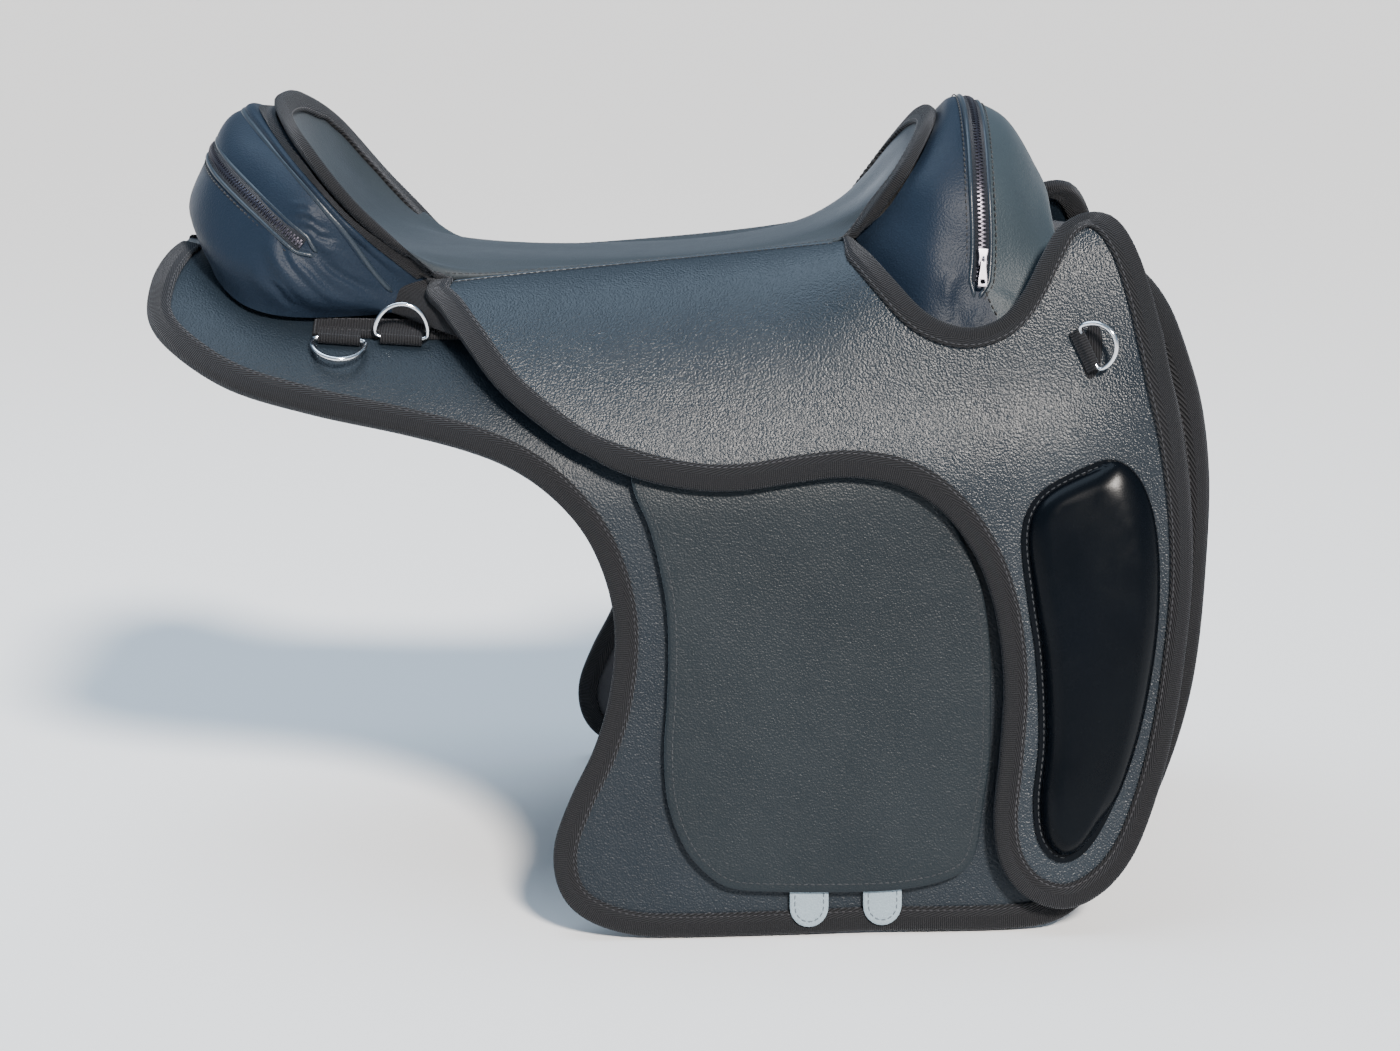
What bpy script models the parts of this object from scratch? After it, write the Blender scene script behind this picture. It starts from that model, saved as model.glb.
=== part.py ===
# Treeless saddle: leather base, flaps, fenders, knee blocks, pouches, webbing, rings and zips.
# X runs forward, Y to the near side, Z up. Metres. Places on the body of the saddle are given as
# shares: a runs along the length (-0.5 rear, 0.5 front), b runs over the side (0 spine, 1 floor),
# and n is a distance out from the leather. b is above zero on the off side, where Y is negative.
import math

import bmesh
import bpy
import numpy as np
from mathutils import Matrix, Vector
from mathutils.geometry import delaunay_2d_cdt

# Body form
LENGTH = 0.690
SPINE_HEIGHT = 0.405
ARCH_DEPTH = 0.135
ARCH_HALF_REAR = 0.165
ARCH_HALF_FRONT = 0.118
SPLAY = 0.070
LOW_POINT_SHARE = -0.09
REAR_RISE_SHARE = 0.40
FRONT_RISE_SHARE = 0.45
NOSE_START_SHARE = 0.33
NOSE_RISE_SHARE = 7.0

# Seat measures that the share tables below follow
SEAT_HALF = 0.115
SEAT_RISE = 0.125

# Layers, counted out from the outer face of the base
BASE_LEATHER = 0.0020
LINING = 0.0028
FELT_GAP = 0.0003
STRAP_LIFT = 0.0013
WEBBING = 0.0012
BILLET_LIFT = 0.0029
BILLET_THICK = 0.0018
FENDER_LIFT = 0.0051
FENDER_THICK = 0.0028
FLAP_LIFT = 0.0109
FLAP_LIFT_FRONT = 0.0066
FLAP_THICK = 0.0045
COVER_THICK = 0.0030
POUCH_THICK = 0.0024

# Edge binding of twill webbing
BINDING_REACH = 0.0130
BINDING_WALL = 0.0011
BINDING_GAP = 0.0012
RIM_GAP = 0.0014
INNER_CORNER_SHARE = 0.7

# General clearances
FIT_GAP = 0.0004
SKIN_GAP = 0.0008
FOAM_GAP = 0.0009
FOAM_LIFT = 0.0034
FOOT_LIFT = 0.0022
STEP_SHARE = 0.0001
PACE_FAR = 0.052
PACE_TURN = 17.0
CELL_A = 0.044
CELL_B_ARCH = 0.026
CELL_B_SIDE = 0.110

# Straps
BILLET_WIDTH = 0.025
GIRTH_WEB_WIDTH = 0.025
STIRRUP_WEB_WIDTH = 0.038

# Knee block
KNEE_HEIGHT = 0.024
KNEE_ROLL = 0.030
KNEE_FLANGE = 0.0022
KNEE_COVER = 0.0022

# Pommel arch, the stiff fork inside the pommel pouch
ARCH_PLATE = 0.0050
ARCH_LIFT = 0.0017

# Rings
RING_WIRE = 0.0036
RING_WIDTH = 0.0390
RING_DEPTH = 0.0270
FRONT_RING_WIDTH = 0.0350
FRONT_RING_DEPTH = 0.0240
STIRRUP_RING_WIRE = 0.0048
STIRRUP_RING_WIDTH = 0.0460
STIRRUP_RING_DEPTH = 0.0280
TAB_WALL = 0.0012
REAR_TAB_REACH = 0.0130
FRONT_TAB_REACH = 0.0090
STIRRUP_TAB_REACH = 0.0100
TAB_WIDTH_SHARE = 0.70
RING_SIDES = 6
RING_TURN_STEPS = 9

# Zips
ZIP_WIDTH = 0.0110
ZIP_THICK = 0.0016
ZIP_TAPE = 0.0005
TEETH_WIDTH = 0.0040
POMMEL_ZIP_CENTRE_Z = 0.414
POMMEL_ZIP_X = 0.197
CANTLE_ZIP_CENTRE_X = -0.224
CANTLE_ZIP_CENTRE_Z = 0.4275
CANTLE_ZIP_TILT = 36.3
SLIDER_REST = {"pommel": 2.9, "cantle": -2.3}
SLIDER_LENGTH = 0.0120
SLIDER_WIDTH = 0.0070
SLIDER_HEIGHT = 0.0034
PULL_LENGTH = 0.0170
PULL_WIDTH = 0.0062
PULL_THICK = 0.0014

# Seat seam, the line where the seat cover meets the flaps: x, y and z as shares of the saddle
# length, the seat half width and the seat rise above the spine height
SEAM_SHARES = [
    (-0.300, 0.845, 0.030), (-0.239, 0.783, 0.060), (-0.152, 0.643, 0.100), (-0.075, 0.565, 0.134),
    (0.022, 0.530, 0.183), (0.099, 0.565, 0.230), (0.171, 0.687, 0.290), (0.275, 0.757, 0.400),
    (0.406, 0.757, 0.544),
]

# Seat surface, rows from the cantle rim to the pommel rim, columns from the mid line to the seam
SEAT_SHARES = [
    [(-0.387, 0.000, 0.992), (-0.380, 0.435, 0.960), (-0.352, 0.826, 0.800), (-0.300, 0.922, 0.456), (-0.225,)],
    [(-0.362, 0.000, 0.656), (-0.352, 0.383, 0.624), (-0.322, 0.678, 0.472), (-0.268, 0.765, 0.256), (-0.200,)],
    [(-0.322, 0.000, 0.352), (-0.310, 0.330, 0.328), (-0.281, 0.557, 0.256), (-0.232, 0.661, 0.152), (-0.171,)],
    [(-0.264, 0.000, 0.208), (-0.255, 0.296, 0.200), (-0.229, 0.487, 0.176), (-0.188, 0.574, 0.128), (-0.138,)],
    [(-0.188, 0.000, 0.160), (-0.177, 0.270, 0.160), (-0.154, 0.435, 0.144), (-0.122, 0.522, 0.120), (-0.087,)],
    [(-0.087, 0.000, 0.152), (-0.080, 0.252, 0.152), (-0.065, 0.400, 0.148), (-0.046, 0.470, 0.136), (-0.029,)],
    [(0.022, 0.000, 0.184), (0.025, 0.243, 0.184), (0.029, 0.374, 0.180), (0.036, 0.452, 0.172), (0.043,)],
    [(0.116, 0.000, 0.280), (0.113, 0.243, 0.272), (0.110, 0.383, 0.256), (0.110, 0.470, 0.236), (0.113,)],
    [(0.181, 0.000, 0.464), (0.171, 0.296, 0.432), (0.157, 0.452, 0.368), (0.146, 0.513, 0.296), (0.142,)],
    [(0.222, 0.000, 0.720), (0.212, 0.400, 0.664), (0.190, 0.600, 0.512), (0.171, 0.609, 0.360), (0.155,)],
    [(0.246, 0.000, 0.920), (0.238, 0.452, 0.864), (0.214, 0.748, 0.664), (0.190, 0.748, 0.472), (0.168,)],
]

# Cantle pouch rows below its top edge: piping seam, zip, belly. The foot row is in a and b
CANTLE_SHARES = [
    [(-0.429, 0.000, 0.912), (-0.404, 0.435, 0.816), (-0.357, 0.852, 0.600), (-0.313, 0.957, 0.344), (-0.258, 0.765, 0.024)],
    [(-0.458, 0.000, 0.720), (-0.440, 0.496, 0.648), (-0.391, 0.861, 0.448), (-0.341, 0.983, 0.232), (-0.264, 0.809, -0.040)],
    [(-0.482, 0.000, 0.424), (-0.465, 0.539, 0.344), (-0.417, 0.904, 0.184), (-0.352, 1.009, 0.056), (-0.268, 0.817, -0.096)],
]
CANTLE_FOOT_SHARES = [(-0.460, 0.000), (-0.449, 0.116), (-0.412, 0.176), (-0.352, 0.184), (-0.268, 0.160)]

# Pommel pouch rows in front of its top edge, the second of them under the zip. The last place of
# a row with two numbers is in a and b under the flap, and the front row is in a and b on the base
POMMEL_SHARES = [
    [(0.265, 0.000, 0.972), (0.262, 0.435, 0.884), (0.250, 0.783, 0.632), (0.236, 0.970, 0.256), (0.222, 0.180)],
    [(0.2855, 0.000, 0.968), (0.2855, 0.457, 0.864), (0.2855, 0.807, 0.573), (0.2855, 0.969, 0.166), (0.272, 0.236)],
    [(0.322, 0.000, 0.872), (0.319, 0.426, 0.776), (0.315, 0.757, 0.504), (0.312, 0.930, 0.152), (0.312, 0.240)],
    [(0.348, 0.000, 0.656), (0.346, 0.391, 0.568), (0.344, 0.678, 0.352), (0.347, 0.860, 0.150), (0.340, 0.238)],
    [(0.362, 0.000, 0.440), (0.362, 0.348, 0.384), (0.364, 0.609, 0.256), (0.367, 0.817, 0.120), (0.350, 0.238)],
]
POMMEL_FRONT_SHARES = [(0.332, 0.000), (0.340, 0.070), (0.351, 0.135), (0.361, 0.232), (0.350, 0.290)]

# Rows of the surfaces that carry vertices, and how far each piece reaches over them. The rows
# count from a rim, and the reaches count columns from the mid line, of four
SEAT_ROWS = [0.0, 0.28, 0.65, 1.2, 2.0, 3.0, 4.0, 5.0, 6.0, 7.0, 8.0, 8.8, 9.35, 9.72, 10.0]
CANTLE_ROWS = [0.0, 0.5, 1.0, 1.5, 2.0, 2.5, 3.0, 3.5, 4.0]
POMMEL_ROWS = [0.0, 0.5, 1.0, 1.5, 2.0, 2.5, 3.0, 3.6, 4.2, 5.0, 5.5, 6.0]
FOAM_SPAN = {"rear": 3.0, "front": 8.0}
FOAM_REACH = {"seat": 3.6, "cantle": 2.8, "pommel": 2.8}
POUCH_REACH = {"cantle": 3.6, "pommel": 4.0}
CANTLE_POUCH_END = 3.84
CANTLE_FOAM_TOP = 0.65
CANTLE_FOAM_FRONT = 2.9
POMMEL_FOAM_TOP = 8.8
POMMEL_FOAM_BACK = 2.0
POMMEL_FOAM_REAR = 8.1
POMMEL_FOAM_FRONT = 4.2
ZIP_REACH = {"cantle": 2.8, "pommel": 3.2}
ZIP_ROUND_REACH = 3.0
RIM_REACH = 3.2
ROW_STEP = 0.01
ZIP_ROW = 2.0

# Outlines in a and b. Each list is one smooth stretch, and stretches meet in corners
SPINE_EDGE_SHARE = 0.030
BASE_SHARES = [
    [(-0.488, SPINE_EDGE_SHARE), (-0.495, 0.085), (-0.500, 0.150), (-0.496, 0.205), (-0.471, 0.246),
     (-0.417, 0.286), (-0.342, 0.308), (-0.258, 0.326), (-0.193, 0.347), (-0.147, 0.374),
     (-0.109, 0.415), (-0.080, 0.467), (-0.061, 0.534), (-0.055, 0.602), (-0.061, 0.679),
     (-0.075, 0.745), (-0.097, 0.810), (-0.112, 0.872), (-0.108, 0.926), (-0.087, 0.962),
     (-0.048, 0.984), (0.000, 0.990), (0.100, 0.990), (0.180, 0.988), (0.250, 0.990),
     (0.310, 0.990), (0.356, 0.982), (0.390, 0.952), (0.423, 0.907), (0.451, 0.846),
     (0.474, 0.779), (0.487, 0.714), (0.494, 0.628), (0.496, 0.550), (0.489, 0.473),
     (0.474, 0.397), (0.456, 0.322), (0.432, 0.250), (0.400, 0.180), (0.368, 0.105),
     (0.345, SPINE_EDGE_SHARE)],
    [(0.345, SPINE_EDGE_SHARE), (-0.488, SPINE_EDGE_SHARE)],
]
FLAP_HINGE_SHARES = [(-0.236, 0.034), (0.172, 0.030)]
FLAP_TOP_SHARES = [(-0.236, 0.034), (-0.150, 0.080), (-0.030, 0.100), (0.080, 0.080), (0.172, 0.030)]
FLAP_EDGE_SHARES = [
    (-0.236, 0.034), (-0.222, 0.080), (-0.205, 0.139), (-0.166, 0.247), (-0.110, 0.333),
    (-0.073, 0.368), (-0.036, 0.389), (0.011, 0.404), (0.057, 0.409), (0.113, 0.404),
    (0.159, 0.404), (0.206, 0.420), (0.243, 0.453), (0.271, 0.501), (0.290, 0.554),
    (0.302, 0.617), (0.307, 0.692), (0.303, 0.778), (0.298, 0.853), (0.305, 0.909),
    (0.328, 0.948), (0.362, 0.963), (0.396, 0.947), (0.424, 0.910), (0.445, 0.853),
    (0.462, 0.782), (0.473, 0.704), (0.479, 0.625), (0.477, 0.552), (0.469, 0.472),
    (0.457, 0.389), (0.444, 0.256), (0.427, 0.148), (0.409, 0.083), (0.387, 0.060),
    (0.362, 0.075), (0.345, 0.119), (0.325, 0.177), (0.302, 0.212), (0.269, 0.216),
    (0.232, 0.183), (0.201, 0.115), (0.172, 0.030),
]
ROOT_INSET_SHARE = 0.006
ROOT_SEAM_SHARE = 0.0038
ROOT_END_SHARE = 0.45
FENDER_SHARES = [
    [(-0.043, 0.320), (-0.043, 0.395), (-0.026, 0.456), (-0.013, 0.535), (-0.009, 0.600),
     (-0.010, 0.679), (-0.013, 0.745), (-0.010, 0.811), (0.002, 0.864), (0.020, 0.901),
     (0.048, 0.929), (0.095, 0.936), (0.161, 0.939), (0.208, 0.938), (0.245, 0.930),
     (0.269, 0.916), (0.280, 0.890), (0.285, 0.847), (0.291, 0.792), (0.293, 0.740),
     (0.292, 0.640), (0.283, 0.560), (0.262, 0.490), (0.240, 0.430), (0.236, 0.320)],
    [(0.236, 0.320), (-0.043, 0.320)],
]
KNEE_SHARES = [
    (0.389, 0.442), (0.350, 0.446), (0.327, 0.468), (0.319, 0.509), (0.325, 0.584),
    (0.333, 0.659), (0.336, 0.757), (0.331, 0.831), (0.336, 0.882), (0.355, 0.909),
    (0.382, 0.898), (0.410, 0.844), (0.433, 0.771), (0.447, 0.689), (0.451, 0.616),
    (0.446, 0.547), (0.432, 0.492), (0.412, 0.456),
]
GIRTH_FRONT_SHARES = [(0.158, 0.0), (0.166, 0.12), (0.178, 0.26), (0.189, 0.36), (0.192, 0.465)]
GIRTH_REAR_SHARES = [(-0.100, 0.0), (-0.066, 0.10), (0.006, 0.24), (0.090, 0.38), (0.123, 0.465)]
STIRRUP_WEB_SHARES = [(0.108, 0.0), (0.108, 0.10), (0.108, 0.190), (0.108, 0.238)]
BILLET_SHARES = {"front": 0.192, "rear": 0.123}
BILLET_TOP_SHARE = 0.450
BILLET_TIP_SHARE = 0.958
ARCH_SHARES = {"rear": 0.206, "front": 0.322, "half": 0.232}

# Places of the rings
REAR_RING_SHARES = {"outer": (-0.3205, 0.212), "inner": (-0.2625, 0.205)}
REAR_RING_LEAN = {"outer": 9.0, "inner": 122.0}
FRONT_RING_PLACE_SHARE = (0.384, 0.290)
FRONT_RING_LEAN = 28.0
STIRRUP_RING_PLACE_SHARE = (0.108, 0.262)
STIRRUP_RING_LEAN = 4.0

# Derived form values
ARCH_GIRTH = ARCH_DEPTH * math.pi / 2
GIRTH_TURNS = 1 + (SPINE_HEIGHT - ARCH_DEPTH) / ARCH_GIRTH
GIRTH = GIRTH_TURNS * ARCH_GIRTH
FLAP_BLEND_SHARE = 0.36
FLAP_SEAM_SLOPE = -0.30
FLAP_FRONT_START_SHARE = 0.30
FLAP_FRONT_SPAN_SHARE = 0.14
SEAT_COLUMNS = 21


def clear_scene():
    for thing in list(bpy.data.objects):
        bpy.data.objects.remove(thing, do_unlink=True)


def material(name, colour, roughness, metallic=0.0):
    found = bpy.data.materials.get(name)
    if found:
        return found
    made = bpy.data.materials.new(name)
    made.use_nodes = True
    shader = made.node_tree.nodes["Principled BSDF"]
    shader.inputs["Base Color"].default_value = (*colour, 1.0)
    shader.inputs["Roughness"].default_value = roughness
    shader.inputs["Metallic"].default_value = metallic
    return made


def leather():
    return material("leather", (0.020, 0.026, 0.038), 0.42)


def pale_leather():
    return material("pale_leather", (0.30, 0.36, 0.42), 0.50)


def webbing():
    return material("webbing", (0.012, 0.012, 0.015), 0.80)


def felt():
    return material("felt", (0.06, 0.06, 0.065), 0.95)


def foam():
    return material("foam", (0.18, 0.18, 0.17), 0.90)


def plastic():
    return material("plastic", (0.03, 0.03, 0.03), 0.50)


def steel():
    return material("steel", (0.75, 0.77, 0.80), 0.15, 1.0)


# The form of the base

def unit(vector):
    return vector / np.linalg.norm(vector)


def smooth_ramp(value):
    t = min(max(value, 0.0), 1.0)
    return t * t * (3 - 2 * t)


def spine_height(a):
    t = a - LOW_POINT_SHARE
    rise = (REAR_RISE_SHARE if t < 0 else FRONT_RISE_SHARE) * t * t
    if a > NOSE_START_SHARE:
        rise += NOSE_RISE_SHARE * (a - NOSE_START_SHARE) ** 2
    return SPINE_HEIGHT * (1 + rise)


def arch_half(a):
    t = min(max(a + 0.5, 0.0), 1.0)
    return ARCH_HALF_REAR + (ARCH_HALF_FRONT - ARCH_HALF_REAR) * t


def base_skin(a, b):
    """Point on the outer face of the base."""
    turns = abs(b) * GIRTH_TURNS
    angle = min(turns, 1.0) * math.pi / 2
    fall = ARCH_DEPTH * (1 - math.cos(angle)) + max(turns - 1.0, 0.0) * ARCH_GIRTH
    share = fall / SPINE_HEIGHT
    out = arch_half(a) * math.sin(angle) + SPLAY * share
    side = -1.0 if b >= 0 else 1.0
    return np.array([a * LENGTH, side * out, spine_height(a) * (1 - share)])


def skin_normal(skin, a, b):
    along = skin(a + STEP_SHARE, b) - skin(a - STEP_SHARE, b)
    around = skin(a, b + STEP_SHARE) - skin(a, b - STEP_SHARE)
    return unit(np.cross(around, along))


def base_place(a, b, n=0.0):
    return base_skin(a, b) + skin_normal(base_skin, a, b) * n


def base_share(x, y):
    """The a and b of the base under a point of the arch."""
    a = x / LENGTH
    low, high = 0.0, 1.0
    for _ in range(30):
        middle = (low + high) / 2
        if abs(base_skin(a, middle)[1]) < abs(y):
            low = middle
        else:
            high = middle
    return a, math.copysign(low, -y)


def flap_lift(a):
    blend = smooth_ramp((a - FLAP_FRONT_START_SHARE) / FLAP_FRONT_SPAN_SHARE)
    return FLAP_LIFT + (FLAP_LIFT_FRONT - FLAP_LIFT) * blend


def seam_point(a):
    """The seat seam on the off side, on the outer face of the leather."""
    places = [seat_scaled(share) for share in SEAM_SHARES]
    low, high = 0.0, len(places) - 1.0
    for _ in range(30):
        middle = (low + high) / 2
        if along_row(places, middle)[0] < a * LENGTH:
            low = middle
        else:
            high = middle
    return along_row(places, low)


def flap_skin(a, b):
    """Point on the inner face of an upper flap, which hangs from the seam to the blend line."""
    if b >= FLAP_BLEND_SHARE:
        return base_place(a, b, flap_lift(a))
    top = seam_point(a) - np.array([0.0, 0.0, FLAP_THICK])
    low = base_place(a, FLAP_BLEND_SHARE, flap_lift(a))
    below = base_place(a, FLAP_BLEND_SHARE + 10 * STEP_SHARE, flap_lift(a))
    reach = np.linalg.norm(low - top)
    start = unit(np.array([0.0, -1.0, FLAP_SEAM_SLOPE])) * reach
    end = unit(below - low) * reach
    t = b / FLAP_BLEND_SHARE
    first = 2 * t ** 3 - 3 * t ** 2 + 1
    last = 3 * t ** 2 - 2 * t ** 3
    return first * top + last * low + (t ** 3 - 2 * t ** 2 + t) * start + (t ** 3 - t ** 2) * end


def flap_place(a, b, n=0.0):
    return flap_skin(a, b) + skin_normal(flap_skin, a, b) * n


def mirrored(place):
    return lambda a, b, n=0.0: place(a, b, n) * np.array([1.0, -1.0, 1.0])


# Smooth surfaces through rows of places

def spline(before, start, end, after, t):
    return 0.5 * (2 * start + (end - before) * t + (2 * before - 5 * start + 4 * end - after) * t * t
                  + (3 * start - before - 3 * end + after) * t ** 3)


def along_row(points, t):
    last = len(points) - 1
    i = min(max(int(math.floor(t)), 0), last - 1)
    start, end = points[i], points[i + 1]
    before = points[i - 1] if i > 0 else 2 * start - end
    after = points[i + 2] if i + 2 <= last else 2 * end - start
    return spline(before, start, end, after, t - i)


class Skin:
    """A surface through half rows of points, mirrored in Y. u counts rows, v counts columns.
    Facing is -1 where the rows run down the back of a piece, so that its normals point out."""

    def __init__(self, rows, facing=1.0):
        mirror = np.array([1.0, -1.0, 1.0])
        self.facing = facing
        self.reach = len(rows[0]) - 1
        self.rows = [[p * mirror for p in row[:0:-1]] + list(row) for row in rows]
        self.count = len(rows) - 1

    def at(self, u, v):
        column = [along_row(row, v + self.reach) for row in self.rows]
        return along_row(column, u)

    def normal(self, u, v, step=0.01):
        low_u, high_u = max(u - step, 0.0), min(u + step, self.count)
        low_v, high_v = max(v - step, -self.reach), min(v + step, self.reach)
        along = self.at(high_u, v) - self.at(low_u, v)
        across = self.at(u, high_v) - self.at(u, low_v)
        return unit(np.cross(across, along)) * self.facing

    def place(self, u, v, n=0.0):
        return self.at(u, v) + self.normal(u, v) * n


def seat_scaled(share):
    x, y, z = share
    return np.array([x * LENGTH, -y * SEAT_HALF, SPINE_HEIGHT + z * SEAT_RISE])


def seat_skin():
    rows = []
    for shares in SEAT_SHARES:
        rows.append([seat_scaled(share) for share in shares[:-1]] + [seam_point(shares[-1][0])])
    return Skin(rows)


def cantle_skin(seat):
    """The pouch behind the cantle rim, from the rim down to the base."""
    behind = COVER_THICK + RIM_GAP + BINDING_WALL + 2 * FOAM_GAP
    top = [seat.place(0.16, v, -behind) for v in range(seat.reach + 1)]
    rows = [top]
    for shares in CANTLE_SHARES:
        rows.append([seat_scaled(share) for share in shares])
    rows.append([base_place(a, b, POUCH_THICK + FOOT_LIFT) for a, b in CANTLE_FOOT_SHARES])
    return Skin(rows, -1.0)


def pommel_skin(seat):
    """The pouch over the pommel arch, from the rim forward to the front edge of the base."""
    behind = COVER_THICK + RIM_GAP + BINDING_WALL + 2 * FOAM_GAP
    top = [seat.place(seat.count - 0.16, v, -behind) for v in range(seat.reach + 1)]
    rows = [top]
    under = -(BINDING_GAP + BINDING_WALL + POUCH_THICK)
    for shares in POMMEL_SHARES:
        row = [seat_scaled(share) for share in shares[:-1]]
        end = shares[-1]
        row.append(flap_place(*end, under) if len(end) == 2 else seat_scaled(end))
        rows.append(row)
    rows.append([base_place(a, b, POUCH_THICK + FOOT_LIFT) for a, b in POMMEL_FRONT_SHARES])
    return Skin(rows)


# Making solids

def halved(face, verts):
    """Cut a four-sided face along its shorter diagonal, so that stacked layers bend alike."""
    if len(face) != 4:
        return [face]
    p, q, r, t = face
    if np.linalg.norm(verts[p] - verts[r]) <= np.linalg.norm(verts[q] - verts[t]):
        return [[p, q, r], [p, r, t]]
    return [[p, q, t], [q, r, t]]


def node(name, verts, faces, mat, smooth=True):
    mesh = bpy.data.meshes.new(name)
    made = bmesh.new()
    points = [made.verts.new(v) for v in verts]
    for face in faces:
        for part in halved(face, verts):
            made.faces.new([points[i] for i in part])
    bmesh.ops.recalc_face_normals(made, faces=made.faces[:])
    made.to_mesh(mesh)
    made.free()
    mesh.materials.append(mat)
    thing = bpy.data.objects.new(name, mesh)
    bpy.context.scene.collection.objects.link(thing)
    if smooth:
        mesh.shade_smooth()
        mesh.set_sharp_from_angle(angle=math.radians(40))
    return thing


def smooth_stretch(points, steps=10):
    """Dense points of a smooth curve through a list of a and b."""
    places = [np.array(p, dtype=float) for p in points]
    if len(places) == 2:
        return [places[0] + (places[1] - places[0]) * i / steps for i in range(steps + 1)]
    dense = []
    for i in range(len(places) - 1):
        for k in range(steps):
            dense.append(along_row(places, i + k / steps))
    dense.append(places[-1])
    return dense


def between(first, second):
    """The angle between two directions, in degrees."""
    cosine = float(np.dot(unit(first), unit(second)))
    return math.degrees(math.acos(min(1.0, max(-1.0, cosine))))


def paced(points, place, far=PACE_FAR, turn=PACE_TURN):
    """Thin a dense stretch, keeping a point where it has run far or turned enough."""
    kept = [points[0]]
    spots = [place(*p) for p in points]
    outs = [place(*p, far) - spot for p, spot in zip(points, spots)]
    run, bent, rolled = 0.0, 0.0, 0.0
    for i in range(1, len(points) - 1):
        step = spots[i] - spots[i - 1]
        run += np.linalg.norm(step)
        bent += between(step, spots[i + 1] - spots[i])
        rolled += between(outs[i - 1], outs[i])
        if run > far or (max(bent, 2.6 * rolled) > turn and run > far / 5):
            kept.append(points[i])
            run, bent, rolled = 0.0, 0.0, 0.0
    kept.append(points[-1])
    if len(kept) > 3 and np.linalg.norm(place(*kept[-1]) - place(*kept[-2])) < far / 6:
        del kept[-2]
    return kept


def outline(stretches, place):
    loop = []
    for stretch in stretches:
        loop += paced(smooth_stretch(stretch), place)[:-1]
    return loop


def flat(point):
    return np.array([point[0] * LENGTH, point[1] * GIRTH])


def unflat(point):
    return np.array([point[0] / LENGTH, point[1] / GIRTH])


def loop_area(loop):
    flats = [flat(p) for p in loop]
    total = 0.0
    for p, q in zip(flats, flats[1:] + flats[:1]):
        total += p[0] * q[1] - q[0] * p[1]
    return total / 2


def inward(loop, closed=True):
    """Unit directions in the flat pattern that point into the sheet, one for each point."""
    flats = [flat(p) for p in loop]
    turn = 1.0 if loop_area(loop) > 0 else -1.0
    count = len(flats)
    directions = []
    for i in range(count):
        before = flats[i - 1] if (closed or i > 0) else flats[i]
        after = flats[(i + 1) % count] if (closed or i < count - 1) else flats[i]
        run = unit(after - before)
        directions.append(np.array([-run[1], run[0]]) * turn)
    return directions


def moved_in(loop, distance, closed=True):
    return [unflat(flat(p) + d * distance) for p, d in zip(loop, inward(loop, closed))]


def edge_distance(point, loop):
    spot = flat(point)
    best = math.inf
    for p, q in zip(loop, loop[1:] + loop[:1]):
        start, run = flat(p), flat(q) - flat(p)
        t = min(max(float(np.dot(spot - start, run) / np.dot(run, run)), 0.0), 1.0)
        best = min(best, float(np.linalg.norm(spot - start - run * t)))
    return best


def inside(point, loop):
    hit = False
    x, y = flat(point)
    for p, q in zip(loop, loop[1:] + loop[:1]):
        x1, y1 = flat(p)
        x2, y2 = flat(q)
        if (y1 > y) != (y2 > y) and x < (x2 - x1) * (y - y1) / (y2 - y1) + x1:
            hit = not hit
    return hit


def grid_places(loop, cell_a, cell_b_arch, cell_b_side):
    low_a, high_a = min(p[0] for p in loop), max(p[0] for p in loop)
    low_b, high_b = min(p[1] for p in loop), max(p[1] for p in loop)
    straight = 1 / GIRTH_TURNS
    lines = []
    b = low_b
    while b < high_b:
        lines.append(b)
        b += (cell_b_arch if abs(b) < straight else cell_b_side) / GIRTH
    count = max(int((high_a - low_a) * LENGTH / cell_a), 1)
    return [(low_a + (high_a - low_a) * i / count, b) for b in lines for i in range(count + 1)]


def cut_pattern(loop, rows, cell_a, cell_b_arch, cell_b_side, clear):
    """Triangles of a flat pattern: its outline, rows that follow it and a loose grid inside."""
    places = [np.array(p) for p in loop]
    for distance in rows:
        for spot in moved_in(loop, distance):
            if inside(spot, loop) and edge_distance(spot, loop) > distance * 0.8:
                places.append(spot)
    for spot in grid_places(loop, cell_a, cell_b_arch, cell_b_side):
        if inside(spot, loop) and edge_distance(spot, loop) > clear:
            places.append(np.array(spot))
    flats = [Vector(flat(p)) for p in places]
    order = list(range(len(loop)))
    if loop_area(loop) < 0:
        order.reverse()
    verts, _, faces, _, _, _ = delaunay_2d_cdt(flats, [], [order], 1, FIT_GAP / 10)
    return [unflat(np.array(v)) for v in verts], [list(f) for f in faces]


def solid_between(name, places, faces, low, high, mat):
    """A closed sheet between two heights over a pattern."""
    count = len(places)
    verts = [high(*p) for p in places] + [low(*p) for p in places]
    solid = [list(face) for face in faces]
    solid += [[i + count for i in reversed(face)] for face in faces]
    used = {}
    for face in faces:
        for i, j in zip(face, face[1:] + face[:1]):
            used[(i, j)] = True
    for i, j in used:
        if (j, i) not in used:
            solid.append([j, i, i + count, j + count])
    return node(name, verts, solid, mat)


def sheet(name, loop, place, low, high, mat, rows=(), cells=(CELL_A, CELL_B_ARCH, CELL_B_SIDE), clear=None):
    places, faces = cut_pattern(loop, rows, *cells, clear or cells[1] * 0.75)
    below = low if callable(low) else lambda a, b: low
    above = high if callable(high) else lambda a, b: high
    return solid_between(name, places, faces,
                         lambda a, b: place(a, b, below(a, b)),
                         lambda a, b: place(a, b, above(a, b)), mat)


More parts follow.
